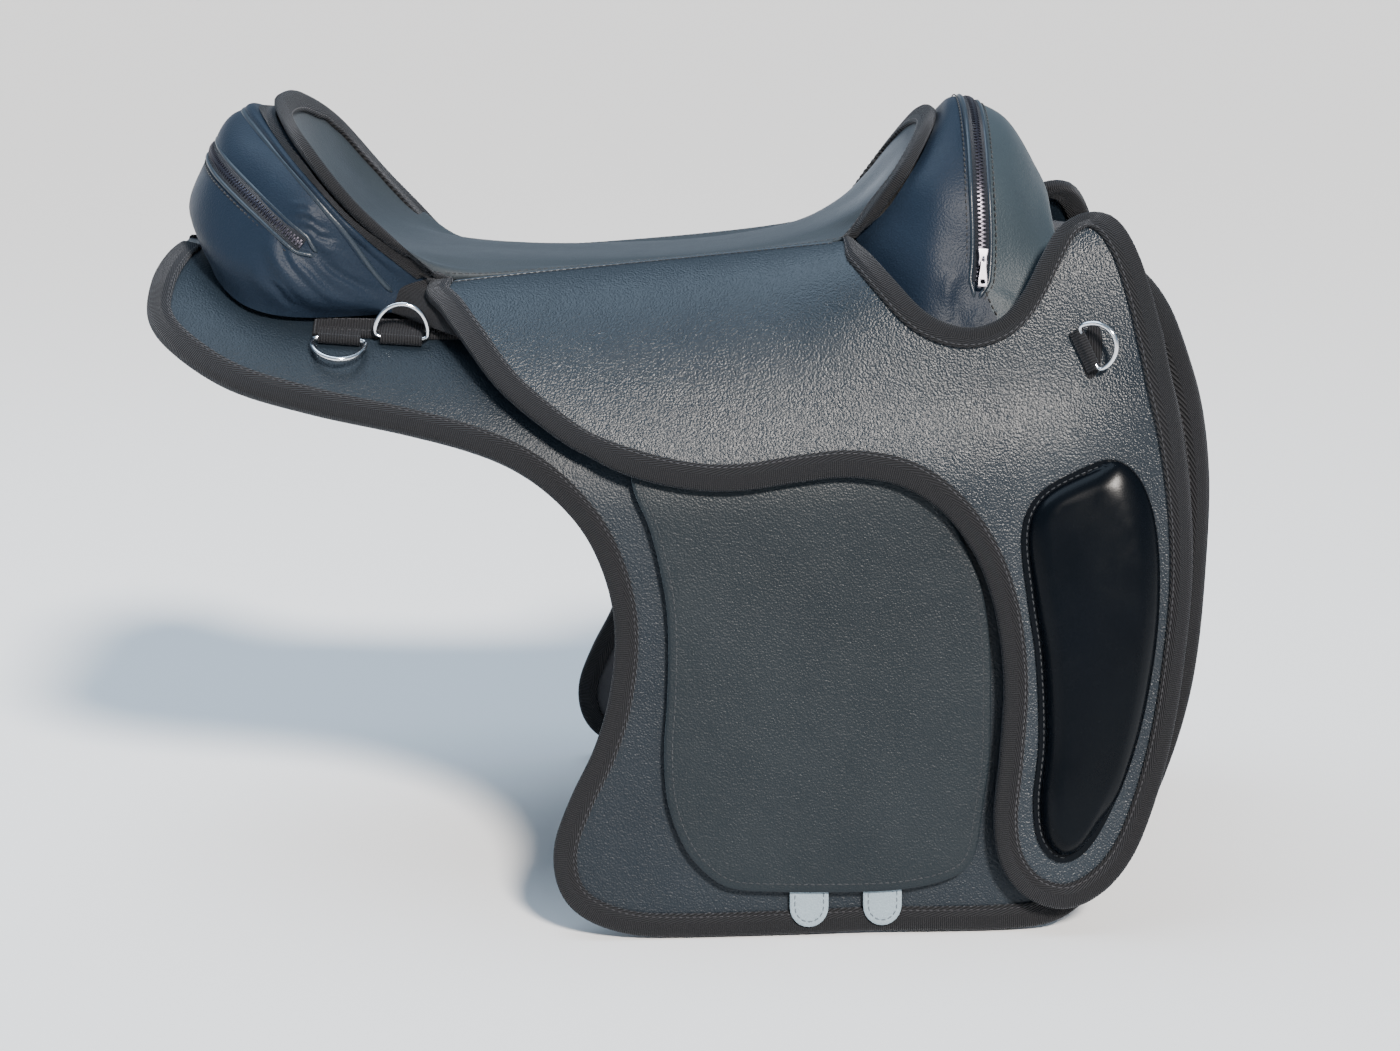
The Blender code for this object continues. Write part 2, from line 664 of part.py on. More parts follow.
def channel_profile(low, high, gap=BINDING_GAP):
    """Section of the folded binding round a sheet from low to high. Each entry says whether the
    point stands on the edge line (0) or on the inner line (1), its way out, and its height."""
    wall = BINDING_WALL
    bay = gap * INNER_CORNER_SHARE
    return [
        (1, 0.0, high + gap + wall), (0, 0.0, high + gap + wall), (0, gap + wall, high),
        (0, gap + wall, low), (0, 0.0, low - gap - wall), (1, 0.0, low - gap - wall),
        (1, 0.0, low - gap), (0, bay, low - bay), (0, bay, high + bay), (1, 0.0, high + gap),
    ]


def sweep(name, rings, mat, closed=False, sunk=False):
    """A tube through rings with the same number of points."""
    size = len(rings[0])
    verts = [p for ring in rings for p in ring]
    faces = []
    count = len(rings)
    for i in range(count if closed else count - 1):
        j = (i + 1) % count
        for k in range(size):
            m = (k + 1) % size
            faces.append([i * size + k, i * size + m, j * size + m, j * size + k])
    if not closed and not sunk:
        faces.append([k for k in range(size)][::-1])
        faces.append([(count - 1) * size + k for k in range(size)])
    if sunk:
        # Each end is a shallow cone whose tip lies inside the piece
        for ring, inner in ((0, 1), (count - 1, count - 2)):
            tip = len(verts)
            verts.append((sum(rings[ring]) + sum(rings[inner])) / (2 * size))
            faces += [[ring * size + k, ring * size + (k + 1) % size, tip] for k in range(size)]
    return node(name, verts, faces, mat)


def channel_ring(edge, edge_normal, out, inner, inner_normal, profile):
    ring = []
    for line, away, height in profile:
        if line == 0:
            ring.append(edge + out * away + edge_normal * height)
        else:
            ring.append(inner + inner_normal * height)
    return ring


def bound_edge(name, path, loop, place, low, high):
    """Binding along a part of a sheet's outline."""
    profile = channel_profile(low, high)
    turn = 1.0 if loop_area(loop) > 0 else -1.0
    flats = [flat(p) for p in path]
    rings = []
    for i, p in enumerate(path):
        before = flats[max(i - 1, 0)]
        after = flats[min(i + 1, len(path) - 1)]
        run = unit(after - before)
        side = np.array([-run[1], run[0]]) * turn
        inner = unflat(flats[i] + side * BINDING_REACH)
        edge = place(*p)
        edge_normal = unit(place(*p, BINDING_REACH) - edge)
        inside_point = place(*inner)
        inner_normal = unit(place(*inner, BINDING_REACH) - inside_point)
        out = edge - inside_point
        out = unit(out - edge_normal * np.dot(out, edge_normal))
        rings.append(channel_ring(edge, edge_normal, out, inside_point, inner_normal, profile))
    return sweep(name, rings, webbing())


def skin_sheet(name, skin, us, vs, low, high, mat):
    """A closed sheet over a grid of a smooth surface."""
    across = len(vs)
    top = [skin.place(u, v, high) for u in us for v in vs]
    bottom = [skin.place(u, v, low) for u in us for v in vs]
    return grid_solid(name, top, bottom, len(us), across, mat)


def grid_solid(name, top, bottom, rows, across, mat):
    count = rows * across
    faces = []
    for i in range(rows - 1):
        for j in range(across - 1):
            k = i * across + j
            faces.append([k, k + 1, k + across + 1, k + across])
            faces.append([k + count + across, k + count + across + 1, k + count + 1, k + count])
    rim = [j for j in range(across)]
    rim += [i * across + across - 1 for i in range(1, rows)]
    rim += [(rows - 1) * across + j for j in range(across - 2, -1, -1)]
    rim += [i * across for i in range(rows - 2, 0, -1)]
    for i, j in zip(rim, rim[1:] + rim[:1]):
        faces.append([j, i, i + count, j + count])
    return node(name, top + bottom, faces, mat)


def spread(start, end, count):
    return [start + (end - start) * i / (count - 1) for i in range(count)]


def columns(skin, reach=None):
    """The v values that every piece round the seat shares, up to a reach from the mid line."""
    limit = (skin.reach if reach is None else reach) + FIT_GAP
    return [v for v in spread(-skin.reach, skin.reach, SEAT_COLUMNS) if abs(v) <= limit]


# Leather base

def make_base():
    loop = outline(BASE_SHARES, base_place)
    low = -BASE_LEATHER - FELT_GAP - LINING
    edge = outline(BASE_SHARES[:1], base_place) + [np.array(BASE_SHARES[0][-1])]
    for side, place in (("off", base_place), ("near", mirrored(base_place))):
        rows = (BINDING_REACH,)
        sheet("base_" + side, loop, place, -BASE_LEATHER, 0.0, leather(), rows)
        sheet("lining_" + side, loop, place, low, -BASE_LEATHER - FELT_GAP, felt(), rows)
        bound_edge("base_binding_" + side, edge, loop, place, low, 0.0)
    gap = SPINE_EDGE_SHARE - SKIN_GAP / GIRTH
    rear, front = BASE_SHARES[0][0][0], BASE_SHARES[0][-1][0]
    us = spread(rear, front, 14)
    vs = spread(-gap, gap, 5)
    top = [base_place(a, b, 0.0) for a in us for b in vs]
    bottom = [base_place(a, b, low) for a in us for b in vs]
    grid_solid("gullet_strip", top, bottom, len(us), len(vs), leather())


# Straps over the base

def strap(name, centre, width, low, high, mat):
    """Webbing over the saddle from side to side, through half of its places and their mirror."""
    dense = paced(smooth_stretch(centre, 12), base_place)
    line = [np.array([p[0], -p[1]]) for p in dense[:0:-1]] + dense
    rings = []
    for i, p in enumerate(line):
        before = flat(line[max(i - 1, 0)])
        after = flat(line[min(i + 1, len(line) - 1)])
        run = unit(after - before)
        side = np.array([-run[1], run[0]]) * width / 2
        left, right = unflat(flat(p) - side), unflat(flat(p) + side)
        middle = (left + right) / 2
        ring = [base_place(*left, low), base_place(*middle, low), base_place(*right, low)]
        ring += [base_place(*right, high), base_place(*middle, high), base_place(*left, high)]
        rings.append(ring)
    return sweep(name, rings, mat)


def make_straps():
    low, high = STRAP_LIFT, STRAP_LIFT + WEBBING
    strap("girth_webbing_front", GIRTH_FRONT_SHARES, GIRTH_WEB_WIDTH, low, high, webbing())
    strap("girth_webbing_rear", GIRTH_REAR_SHARES, GIRTH_WEB_WIDTH, low, high, webbing())
    strap("stirrup_webbing", STIRRUP_WEB_SHARES, STIRRUP_WEB_WIDTH, low, high, webbing())


def billet_loop(a):
    """Outline of a billet with round ends."""
    half = BILLET_WIDTH / 2 / LENGTH
    cap = BILLET_WIDTH / 2 / GIRTH
    loop = []
    for i in range(7):
        angle = math.pi * i / 6
        loop.append(np.array([a + half * math.cos(angle), BILLET_TOP_SHARE - cap * math.sin(angle)]))
    for i in range(7):
        angle = math.pi * i / 6
        loop.append(np.array([a - half * math.cos(angle), BILLET_TIP_SHARE + cap * math.sin(angle)]))
    return loop


def make_billets(joints):
    for side, place in (("off", base_place), ("near", mirrored(base_place))):
        for end, a in BILLET_SHARES.items():
            name = "billet_" + end + "_" + side
            made = sheet(name, billet_loop(a), place, BILLET_LIFT, BILLET_LIFT + BILLET_THICK,
                         pale_leather(), cells=(BILLET_WIDTH * 2, CELL_B_SIDE, CELL_B_SIDE))
            top = place(a, BILLET_TOP_SHARE)
            axis = unit(place(a, BILLET_TOP_SHARE, BINDING_REACH) - top)
            joints.append(("swing_" + name, top, axis, [made]))


# Flaps and fenders

def make_flaps(joints):
    top = paced(smooth_stretch(FLAP_TOP_SHARES), flap_place)
    edge = paced(smooth_stretch(FLAP_EDGE_SHARES), flap_place)
    loop = edge[:-1] + top[::-1][:-1]
    inset = np.array([0.0, ROOT_INSET_SHARE])
    ends = [p for p in top]
    ends[0] = top[0] + (top[1] - top[0]) * ROOT_END_SHARE
    ends[-1] = top[-1] + (top[-2] - top[-1]) * ROOT_END_SHARE
    seam = [np.array([p[0], ROOT_SEAM_SHARE]) for p in ends]
    root = seam + [p - inset for p in ends[::-1]]
    knee = paced(smooth_stretch(KNEE_SHARES + KNEE_SHARES[:1]), flap_place, PACE_FAR * 0.7)[:-1]
    hinge_height = FLAP_THICK
    for side in ("off", "near"):
        place = flap_place if side == "off" else mirrored(flap_place)
        sheet("flap_root_" + side, root, place, 0.0, FLAP_THICK, leather())
        flap = sheet("flap_" + side, loop, place, 0.0, FLAP_THICK, leather(), (BINDING_REACH,))
        trim = bound_edge("flap_binding_" + side, edge, loop, place, 0.0, FLAP_THICK)
        block, core = make_knee_block(side, knee, place)
        tab = make_front_ring(side, place, joints)
        rear = place(*FLAP_HINGE_SHARES[0], hinge_height)
        front = place(*FLAP_HINGE_SHARES[1], hinge_height)
        joints.append(("lift_flap_" + side, rear, unit(front - rear), [flap, trim, block, core, tab]))


def knee_rise(loop):
    def rise(a, b):
        away = min(edge_distance((a, b), loop) / KNEE_ROLL, 1.0)
        return KNEE_FLANGE + KNEE_HEIGHT * math.sqrt(1 - (1 - away) ** 2)
    return rise


def make_knee_block(side, loop, place):
    """A moulded leather cover over a foam core."""
    seat = FLAP_THICK + 2 * SKIN_GAP
    rise = knee_rise(loop)
    rows = (KNEE_ROLL * 0.12, KNEE_ROLL * 0.45, KNEE_ROLL)
    cells = (CELL_A, CELL_A, CELL_A)
    block = sheet("knee_block_" + side, loop, place,
                  lambda a, b: seat + max(rise(a, b) - KNEE_COVER, 0.0) * 0.999,
                  lambda a, b: seat + rise(a, b), leather(), rows, cells, KNEE_ROLL * 1.15)
    core_loop = moved_in(loop, KNEE_ROLL * 0.16)
    core = sheet("knee_foam_" + side, core_loop, place, seat + SKIN_GAP,
                 lambda a, b: seat + (rise(a, b) - KNEE_COVER) * 0.80, foam(),
                 (KNEE_ROLL * 0.5,), cells, KNEE_ROLL)
    return block, core


def make_fenders(joints):
    loop = outline(FENDER_SHARES, base_place)
    low, high = FENDER_LIFT, FENDER_LIFT + FENDER_THICK
    for side, place in (("off", base_place), ("near", mirrored(base_place))):
        made = sheet("fender_" + side, loop, place, low, high, leather())
        rear = place(*FENDER_SHARES[0][0], high)
        front = place(*FENDER_SHARES[0][-1], high)
        joints.append(("lift_fender_" + side, rear, unit(front - rear), [made]))


# Seat, cantle and pommel

def make_seat(seat):
    skin_sheet("seat_cover", seat, SEAT_ROWS, columns(seat), -COVER_THICK, 0.0, leather())
    us = [u for u in SEAT_ROWS if FOAM_SPAN["rear"] <= u <= FOAM_SPAN["front"]]
    vs = columns(seat, FOAM_REACH["seat"])
    top = [seat.place(u, v, -COVER_THICK - FOAM_GAP) for u in us for v in vs]
    bottom = [base_place(*base_share(p[0], p[1]), FOAM_LIFT) for p in top]
    grid_solid("seat_foam", top, bottom, len(us), len(vs), foam())


def row_at(skin, u, v, distance):
    """The row at a distance from row u along column v."""
    found = u
    while np.linalg.norm(skin.at(found, v) - skin.at(u, v)) < abs(distance):
        found += math.copysign(ROW_STEP, distance)
    return found


def square_in(seat, u, v, distance):
    """The row and column that lie square in from a rim, at a distance from it."""
    edge = seat.at(u, v)
    rim = unit(seat.at(u, v + STEP_SHARE) - seat.at(u, v - STEP_SHARE))
    best, least = None, math.inf
    for other in spread(v - 1.0, v + 1.0, 41):
        if abs(other) > seat.reach or np.linalg.norm(seat.at(u, other) - edge) > abs(distance):
            continue
        found = u
        while np.linalg.norm(seat.at(found, other) - edge) < abs(distance):
            found += math.copysign(ROW_STEP, distance)
        slant = abs(float(np.dot(unit(seat.at(found, other) - edge), rim)))
        if slant < least:
            best, least = (found, other), slant
    return best


def rim_rings(seat, u, step_sign):
    """Binding sections along a rim of the seat cover."""
    profile = channel_profile(-COVER_THICK, 0.0, RIM_GAP)
    rings = []
    for v in columns(seat, RIM_REACH):
        edge = seat.at(u, v)
        inner_spot = square_in(seat, u, v, step_sign * BINDING_REACH)
        inner = seat.at(*inner_spot)
        edge_normal = seat.normal(u, v)
        out = edge - inner
        out = unit(out - edge_normal * np.dot(out, edge_normal))
        rings.append(channel_ring(edge, edge_normal, out, inner, seat.normal(*inner_spot), profile))
    return rings


def make_rims(seat):
    sweep("cantle_binding", rim_rings(seat, 0.0, 1), webbing())
    sweep("pommel_binding", rim_rings(seat, float(seat.count), -1), webbing())


def filler(name, seat, seat_us, skin, skin_us, reach, lift, floor_steps):
    """A foam block between the seat cover, a pouch and the base. Each column has a closed
    section: down the seat side, along the base and up the pouch side."""
    rings = []
    for v in columns(seat, reach):
        front = [seat.place(u, v, -COVER_THICK - FOAM_GAP) for u in seat_us]
        back = [skin.place(u, v, -POUCH_THICK - FOAM_GAP) for u in skin_us]
        foot = skin.place(skin.count, v, -POUCH_THICK - 4 * FOAM_GAP)
        start = np.array(base_share(front[-1][0], front[-1][1]))
        end = np.array(base_share(foot[0], foot[1]))
        floor = [base_place(*(start + (end - start) * t), lift) for t in spread(0.0, 1.0, floor_steps)]
        rings.append(front + floor + back)
    return sweep(name, rings, foam(), sunk=True)


def make_arch():
    """The stiff fork inside the pommel pouch, bent over the withers."""
    low, high = ARCH_LIFT, ARCH_LIFT + ARCH_PLATE
    us = spread(ARCH_SHARES["rear"], ARCH_SHARES["front"], 3)
    vs = spread(-ARCH_SHARES["half"], ARCH_SHARES["half"], 15)
    top = [base_place(a, b, high) for a in us for b in vs]
    bottom = [base_place(a, b, low) for a in us for b in vs]
    grid_solid("pommel_arch", top, bottom, len(us), len(vs), plastic())


def make_cantle(seat):
    skin = cantle_skin(seat)
    vs = columns(seat, POUCH_REACH["cantle"])
    vs = [-CANTLE_POUCH_END] + vs + [CANTLE_POUCH_END]
    skin_sheet("cantle_pouch", skin, CANTLE_ROWS, vs, -POUCH_THICK, 0.0, leather())
    seat_us = [u for u in SEAT_ROWS if CANTLE_FOAM_TOP <= u < FOAM_SPAN["rear"]] + [CANTLE_FOAM_FRONT]
    skin_us = [u for u in CANTLE_ROWS[::-1] if 0.0 < u < skin.count]
    filler("cantle_foam", seat, seat_us, skin, skin_us, FOAM_REACH["cantle"], FOAM_LIFT, 4)
    return skin


def make_pommel(seat):
    skin = pommel_skin(seat)
    vs = columns(seat, POUCH_REACH["pommel"])
    skin_sheet("pommel_pouch", skin, POMMEL_ROWS, vs, -POUCH_THICK, 0.0, leather())
    seat_us = [u for u in SEAT_ROWS[::-1] if FOAM_SPAN["front"] < u <= POMMEL_FOAM_TOP] + [POMMEL_FOAM_REAR]
    skin_us = [u for u in POMMEL_ROWS[::-1] if POMMEL_FOAM_BACK <= u <= POMMEL_FOAM_FRONT]
    lift = ARCH_LIFT + ARCH_PLATE + FOAM_GAP
    filler("pommel_foam", seat, seat_us, skin, skin_us, FOAM_REACH["pommel"], lift, 4)
    return skin


# Zips

def turned(point, centre, axis, start, end):
    """A point turned about an axis by the angle from start to end, seen along the axis."""
    first = (start - centre) - axis * np.dot(start - centre, axis)
    last = (end - centre) - axis * np.dot(end - centre, axis)
    angle = math.atan2(float(np.dot(np.cross(first, last), axis)), float(np.dot(first, last)))
    spun = Matrix.Rotation(angle, 3, Vector(axis)) @ Vector(point - centre)
    return centre + np.array(spun)


def slider_frame(skin, v):
    """The frame of a slider that rests on a zip at column v."""
    height = SKIN_GAP + ZIP_THICK + SKIN_GAP + SLIDER_HEIGHT / 2
    along = unit(skin.at(ZIP_ROW, v + STEP_SHARE) - skin.at(ZIP_ROW, v - STEP_SHARE))
    return frame_at(skin.place(ZIP_ROW, v, height), along, skin.normal(ZIP_ROW, v))


def zip_strip(name, skin, reach, rest, centre, axis):
    """Tape along the zip row of a pouch, which is its second one, with a ridge of teeth. The
    ridge's top is on the circle that the slider turns on, and the tape lies on the pouch."""
    low, flush = SKIN_GAP, SKIN_GAP + ZIP_TAPE
    edge, teeth = ZIP_WIDTH / 2, TEETH_WIDTH / 2
    frame = slider_frame(skin, rest)
    under = -SLIDER_HEIGHT / 2 - SKIN_GAP
    tops = {}
    for side in (-teeth, teeth):
        spots = [np.array(frame @ Vector((0.0, way, under))) for way in (-side, side)]
        near = skin.at(row_at(skin, ZIP_ROW, rest, side), rest)
        tops[side] = min(spots, key=lambda spot: np.linalg.norm(spot - near))
    rings = []
    for v in columns(skin, reach):
        rows = {away: row_at(skin, ZIP_ROW, v, away) for away in (-edge, -teeth, teeth, edge)}
        here, there = skin.at(ZIP_ROW, rest), skin.at(ZIP_ROW, v)
        ridge = {side: turned(tops[side], centre, axis, here, there) for side in tops}
        if abs(v) > ZIP_ROUND_REACH:
            ridge = {side: skin.place(rows[side], v, SKIN_GAP + ZIP_THICK) for side in tops}
        ring = [skin.place(rows[-edge], v, low), skin.place(rows[edge], v, low)]
        ring += [skin.place(rows[edge], v, flush), skin.place(rows[teeth], v, flush)]
        ring += [ridge[teeth], ridge[-teeth]]
        ring += [skin.place(rows[-teeth], v, flush), skin.place(rows[-edge], v, flush)]
        rings.append(ring)
    return sweep(name, rings, webbing())


def block(name, frame, size, mat, bevel=0.0):
    """A box with softened edges, centred on a frame."""
    mesh = bpy.data.meshes.new(name)
    made = bmesh.new()
    bmesh.ops.create_cube(made, size=1.0)
    bmesh.ops.scale(made, vec=Vector(size), verts=made.verts[:])
    if bevel:
        bmesh.ops.bevel(made, geom=made.edges[:], offset=bevel, segments=1, affect="EDGES")
    bmesh.ops.transform(made, matrix=frame, verts=made.verts[:])
    made.to_mesh(mesh)
    made.free()
    mesh.materials.append(mat)
    thing = bpy.data.objects.new(name, mesh)
    bpy.context.scene.collection.objects.link(thing)
    return thing


def frame_at(origin, x_axis, z_axis):
    """A frame whose X is x_axis and whose Z is as near to z_axis as it can be."""
    x = unit(x_axis)
    z = unit(z_axis - x * np.dot(z_axis, x))
    y = np.cross(z, x)
    rows = [[x[i], y[i], z[i], origin[i]] for i in range(3)]
    return Matrix(rows + [[0.0, 0.0, 0.0, 1.0]])


def make_zips(cantle, pommel, joints):
    # The pommel zip runs on a circle about an X axis, and its slider rests at the low off end
    centre = np.array([POMMEL_ZIP_X, 0.0, POMMEL_ZIP_CENTRE_Z])
    axis = np.array([1.0, 0.0, 0.0])
    zip_strip("pommel_zip", pommel, ZIP_REACH["pommel"], SLIDER_REST["pommel"], centre, axis)
    add_slider("pommel_zip", pommel, SLIDER_REST["pommel"], centre, axis, joints)
    # The cantle zip runs in a plane that tips forward, and its slider rests at the near end
    tilt = math.radians(CANTLE_ZIP_TILT)
    centre = np.array([CANTLE_ZIP_CENTRE_X, 0.0, CANTLE_ZIP_CENTRE_Z])
    axis = np.array([math.sin(tilt), 0.0, math.cos(tilt)])
    zip_strip("cantle_zip", cantle, ZIP_REACH["cantle"], SLIDER_REST["cantle"], centre, axis)
    add_slider("cantle_zip", cantle, SLIDER_REST["cantle"], centre, axis, joints)


def add_slider(name, skin, v, centre, axis, joints):
    """A slider that rests on a zip at column v, and the pull that hangs on it."""
    frame = slider_frame(skin, v)
    seat, along = np.array(frame.col[3][:3]), np.array(frame.col[0][:3])
    size = (SLIDER_LENGTH, SLIDER_WIDTH, SLIDER_HEIGHT)
    body = block(name + "_slider", frame, size, steel(), SLIDER_HEIGHT / 4)
    joints.append(("slide_" + name, centre, axis, [body]))
    out = np.array(frame.col[2][:3])
    down = along if along[2] < 0 else -along
    hinge = seat + out * (SLIDER_HEIGHT / 2 + FIT_GAP + PULL_THICK / 2) + down * SLIDER_LENGTH / 4
    middle = hinge + down * PULL_LENGTH / 2
    size = (PULL_LENGTH, PULL_WIDTH, PULL_THICK)
    pull = block(name + "_pull", frame_at(middle, down, out), size, steel(), PULL_THICK / 4)
    joints.append(("swing_" + name + "_pull", hinge, unit(np.cross(down, out)), [pull]))


# Rings and their keepers

def ring_path(width, depth):
    """Centre line of a D: a straight bar on X and a round bow towards Y."""
    half = width / 2
    corner = depth * 0.16
    points = []
    for i in range(RING_TURN_STEPS + 1):
        angle = math.pi * i / RING_TURN_STEPS
        points.append((half * math.cos(angle), corner + (depth - corner) * math.sin(angle)))
    points.append((-half * 0.90, 0.0))
    points.append((half * 0.90, 0.0))
    return points


def d_ring(name, frame, width, depth, wire, mat):
    """A closed wire ring in the XY plane of the frame, hung on the frame's X axis."""
    path = [np.array(p) for p in ring_path(width - wire, depth - wire)]
    rings = []
    for i, p in enumerate(path):
        run = unit(path[(i + 1) % len(path)] - path[i - 1])
        side = np.array([run[1], -run[0]])
        ring = []
        for k in range(RING_SIDES):
            angle = 2 * math.pi * (k + 0.5) / RING_SIDES
            spot = p + side * math.cos(angle) * wire / 2
            local = Vector((spot[0], spot[1], math.sin(angle) * wire / 2))
            ring.append(frame @ local)
        rings.append(ring)
    return sweep(name, rings, mat, closed=True)


def folded_tab(name, frame, length, reach, wire, mat):
    """Webbing folded round a ring's bar. The frame's X is the bar, its Y points to the bow and
    its Z out of the leather. The two layers of the fold run back from the bar, one on the other."""
    hole = wire / 2 + FIT_GAP
    skin = hole + TAB_WALL
    neck = 2 * skin
    corner = math.sqrt(0.5)
    section = [
        (-reach, -skin), (0.0, -skin), (skin * corner, -skin * corner), (skin, 0.0),
        (skin * corner, skin * corner), (0.0, skin), (-skin * corner, skin * corner),
        (-neck, TAB_WALL + FIT_GAP - hole), (-reach, TAB_WALL + FIT_GAP - hole),
        (-reach, FIT_GAP - hole), (-neck, FIT_GAP - hole), (-hole * corner, hole * corner),
        (0.0, hole), (hole * corner, hole * corner), (hole, 0.0), (hole * corner, -hole * corner),
        (0.0, -hole), (-reach, -hole),
    ]
    rings = [[frame @ Vector((x, y, z)) for y, z in section] for x in (-length / 2, length / 2)]
    return sweep(name, rings, mat)


def ring_frame(place, spot, step, height):
    """A frame on the leather. Its Y points along a step in a and b, and its Z out."""
    a, b = spot
    origin = place(a, b, height)
    out = unit(place(a, b, height + BINDING_REACH) - origin)
    bow = unit(place(a + step[0], b + step[1], height) - origin)
    return frame_at(origin, np.cross(bow, out), out)


def hung_ring(name, place, spot, step, height, lean, width, depth, wire, reach, joints):
    """A D ring in its folded tab. The tab stays, and the ring swings on its bar."""
    frame = ring_frame(place, spot, step, height + wire / 2 + FIT_GAP + TAB_WALL + SKIN_GAP)
    tab = folded_tab(name + "_tab", frame, width * TAB_WIDTH_SHARE, reach, wire, webbing())
    leaned = frame @ Matrix.Rotation(math.radians(lean), 4, "X")
    ring = d_ring(name, leaned, width, depth, wire, steel())
    joints.append(("swing_" + name, np.array(frame.col[3][:3]), np.array(frame.col[0][:3]), [ring]))
    return tab


def make_rear_rings(joints):
    for side, place in (("off", base_place), ("near", mirrored(base_place))):
        for end, spot in REAR_RING_SHARES.items():
            hung_ring("rear_ring_" + end + "_" + side, place, spot, (0.0, STEP_SHARE), 0.0,
                      REAR_RING_LEAN[end], RING_WIDTH, RING_DEPTH, RING_WIRE, REAR_TAB_REACH, joints)


def make_front_ring(side, place, joints):
    height = FLAP_THICK + SKIN_GAP
    return hung_ring("front_ring_" + side, place, FRONT_RING_PLACE_SHARE, (STEP_SHARE, 0.0), height,
                     FRONT_RING_LEAN, FRONT_RING_WIDTH, FRONT_RING_DEPTH, RING_WIRE,
                     FRONT_TAB_REACH, joints)


def make_stirrup_rings(joints):
    for side, place in (("off", base_place), ("near", mirrored(base_place))):
        hung_ring("stirrup_ring_" + side, place, STIRRUP_RING_PLACE_SHARE, (0.0, STEP_SHARE), 0.0,
                  STIRRUP_RING_LEAN, STIRRUP_RING_WIDTH, STIRRUP_RING_DEPTH, STIRRUP_RING_WIRE,
                  STIRRUP_TAB_REACH, joints)


# Joints: each moving body hangs on an empty that stands on its axis

def hang(name, centre, axis, things):
    pivot = bpy.data.objects.new(name, None)
    pivot.empty_display_size = BILLET_WIDTH
    pivot.location = Vector(centre)
    bpy.context.scene.collection.objects.link(pivot)
    for thing in things:
        thing.data.transform(Matrix.Translation(-Vector(centre)))
        thing.parent = pivot
    return pivot


def stand_on_floor(pivots):
    """Put the lowest point on Z = 0 and the middle of the length on X = 0."""
    bpy.context.view_layer.update()
    corners = []
    for thing in bpy.data.objects:
        if thing.type == "MESH":
            corners += [thing.matrix_world @ vertex.co for vertex in thing.data.vertices]
    low_z = min(p.z for p in corners)
    middle_x = (min(p.x for p in corners) + max(p.x for p in corners)) / 2
    shift = Vector((-middle_x, 0.0, -low_z))
    for thing in bpy.data.objects:
        if thing.parent is None:
            thing.location += shift
    print("moved by", [round(value, 5) for value in shift])
    for name, pivot, axis in pivots:
        spot = pivot.location
        print("joint", name, [round(value, 5) for value in spot], [round(float(v), 5) for v in axis])


def main():
    clear_scene()
    joints = []
    seat = seat_skin()
    make_base()
    make_straps()
    make_billets(joints)
    make_fenders(joints)
    make_flaps(joints)
    make_seat(seat)
    make_rims(seat)
    cantle = make_cantle(seat)
    make_arch()
    pommel = make_pommel(seat)
    make_zips(cantle, pommel, joints)
    make_rear_rings(joints)
    make_stirrup_rings(joints)
    pivots = [(name, hang(name, centre, axis, things), axis) for name, centre, axis, things in joints]
    stand_on_floor(pivots)


main()
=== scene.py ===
import math

import bmesh
import bpy
import numpy as np
from mathutils import Matrix, Vector
from mathutils.geometry import delaunay_2d_cdt


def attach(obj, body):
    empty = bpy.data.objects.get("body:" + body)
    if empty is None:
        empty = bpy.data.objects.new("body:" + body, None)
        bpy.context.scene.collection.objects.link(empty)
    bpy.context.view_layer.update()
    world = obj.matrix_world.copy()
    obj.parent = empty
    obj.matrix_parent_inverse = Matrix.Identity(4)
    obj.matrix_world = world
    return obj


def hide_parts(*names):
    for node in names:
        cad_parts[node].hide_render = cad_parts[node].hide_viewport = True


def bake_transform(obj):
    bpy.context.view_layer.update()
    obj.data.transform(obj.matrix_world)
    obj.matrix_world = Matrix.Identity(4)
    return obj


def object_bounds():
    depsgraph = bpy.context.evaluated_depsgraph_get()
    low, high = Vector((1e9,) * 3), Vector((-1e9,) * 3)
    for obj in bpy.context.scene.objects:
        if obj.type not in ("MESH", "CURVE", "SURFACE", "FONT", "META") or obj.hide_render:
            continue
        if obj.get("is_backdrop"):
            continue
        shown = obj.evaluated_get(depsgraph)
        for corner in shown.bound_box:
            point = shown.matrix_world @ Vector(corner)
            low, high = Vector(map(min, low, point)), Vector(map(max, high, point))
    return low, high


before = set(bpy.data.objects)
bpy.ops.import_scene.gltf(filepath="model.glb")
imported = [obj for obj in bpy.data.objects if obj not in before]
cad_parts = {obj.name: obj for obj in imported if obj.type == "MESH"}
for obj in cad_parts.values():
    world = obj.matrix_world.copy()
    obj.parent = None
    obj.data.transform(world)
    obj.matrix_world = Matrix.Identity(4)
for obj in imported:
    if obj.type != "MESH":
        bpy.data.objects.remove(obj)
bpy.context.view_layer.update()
print("frame loaded")

# Places on the saddle are shares: a runs along the length, b over the side from spine to floor,
# and n is a distance out from the leather. b above zero is the off side, where Y is negative.
form = {
    "length": 0.690, "spineHeight": 0.405, "archDepth": 0.135, "archHalfRear": 0.165, "archHalfFront": 0.118,
    "splay": 0.070, "lowPoint": -0.09, "rearRise": 0.40, "frontRise": 0.45, "noseStart": 0.33,
    "noseRise": 7.0, "seatHalf": 0.115, "seatRise": 0.125, "shift": (0.00232, 0.0, -0.00147),
}
layer = {
    "baseLow": -0.0051, "felt": -0.0023, "strap": 0.0013, "strapThick": 0.0012, "billet": 0.0029,
    "billetThick": 0.0018, "fender": 0.0051, "fenderThick": 0.0028, "flap": 0.0109, "flapFront": 0.0066,
    "flapThick": 0.0045, "cover": 0.0030, "pouch": 0.0024, "foot": 0.0022, "foamGap": 0.0009,
    "rimGap": 0.0014,
}
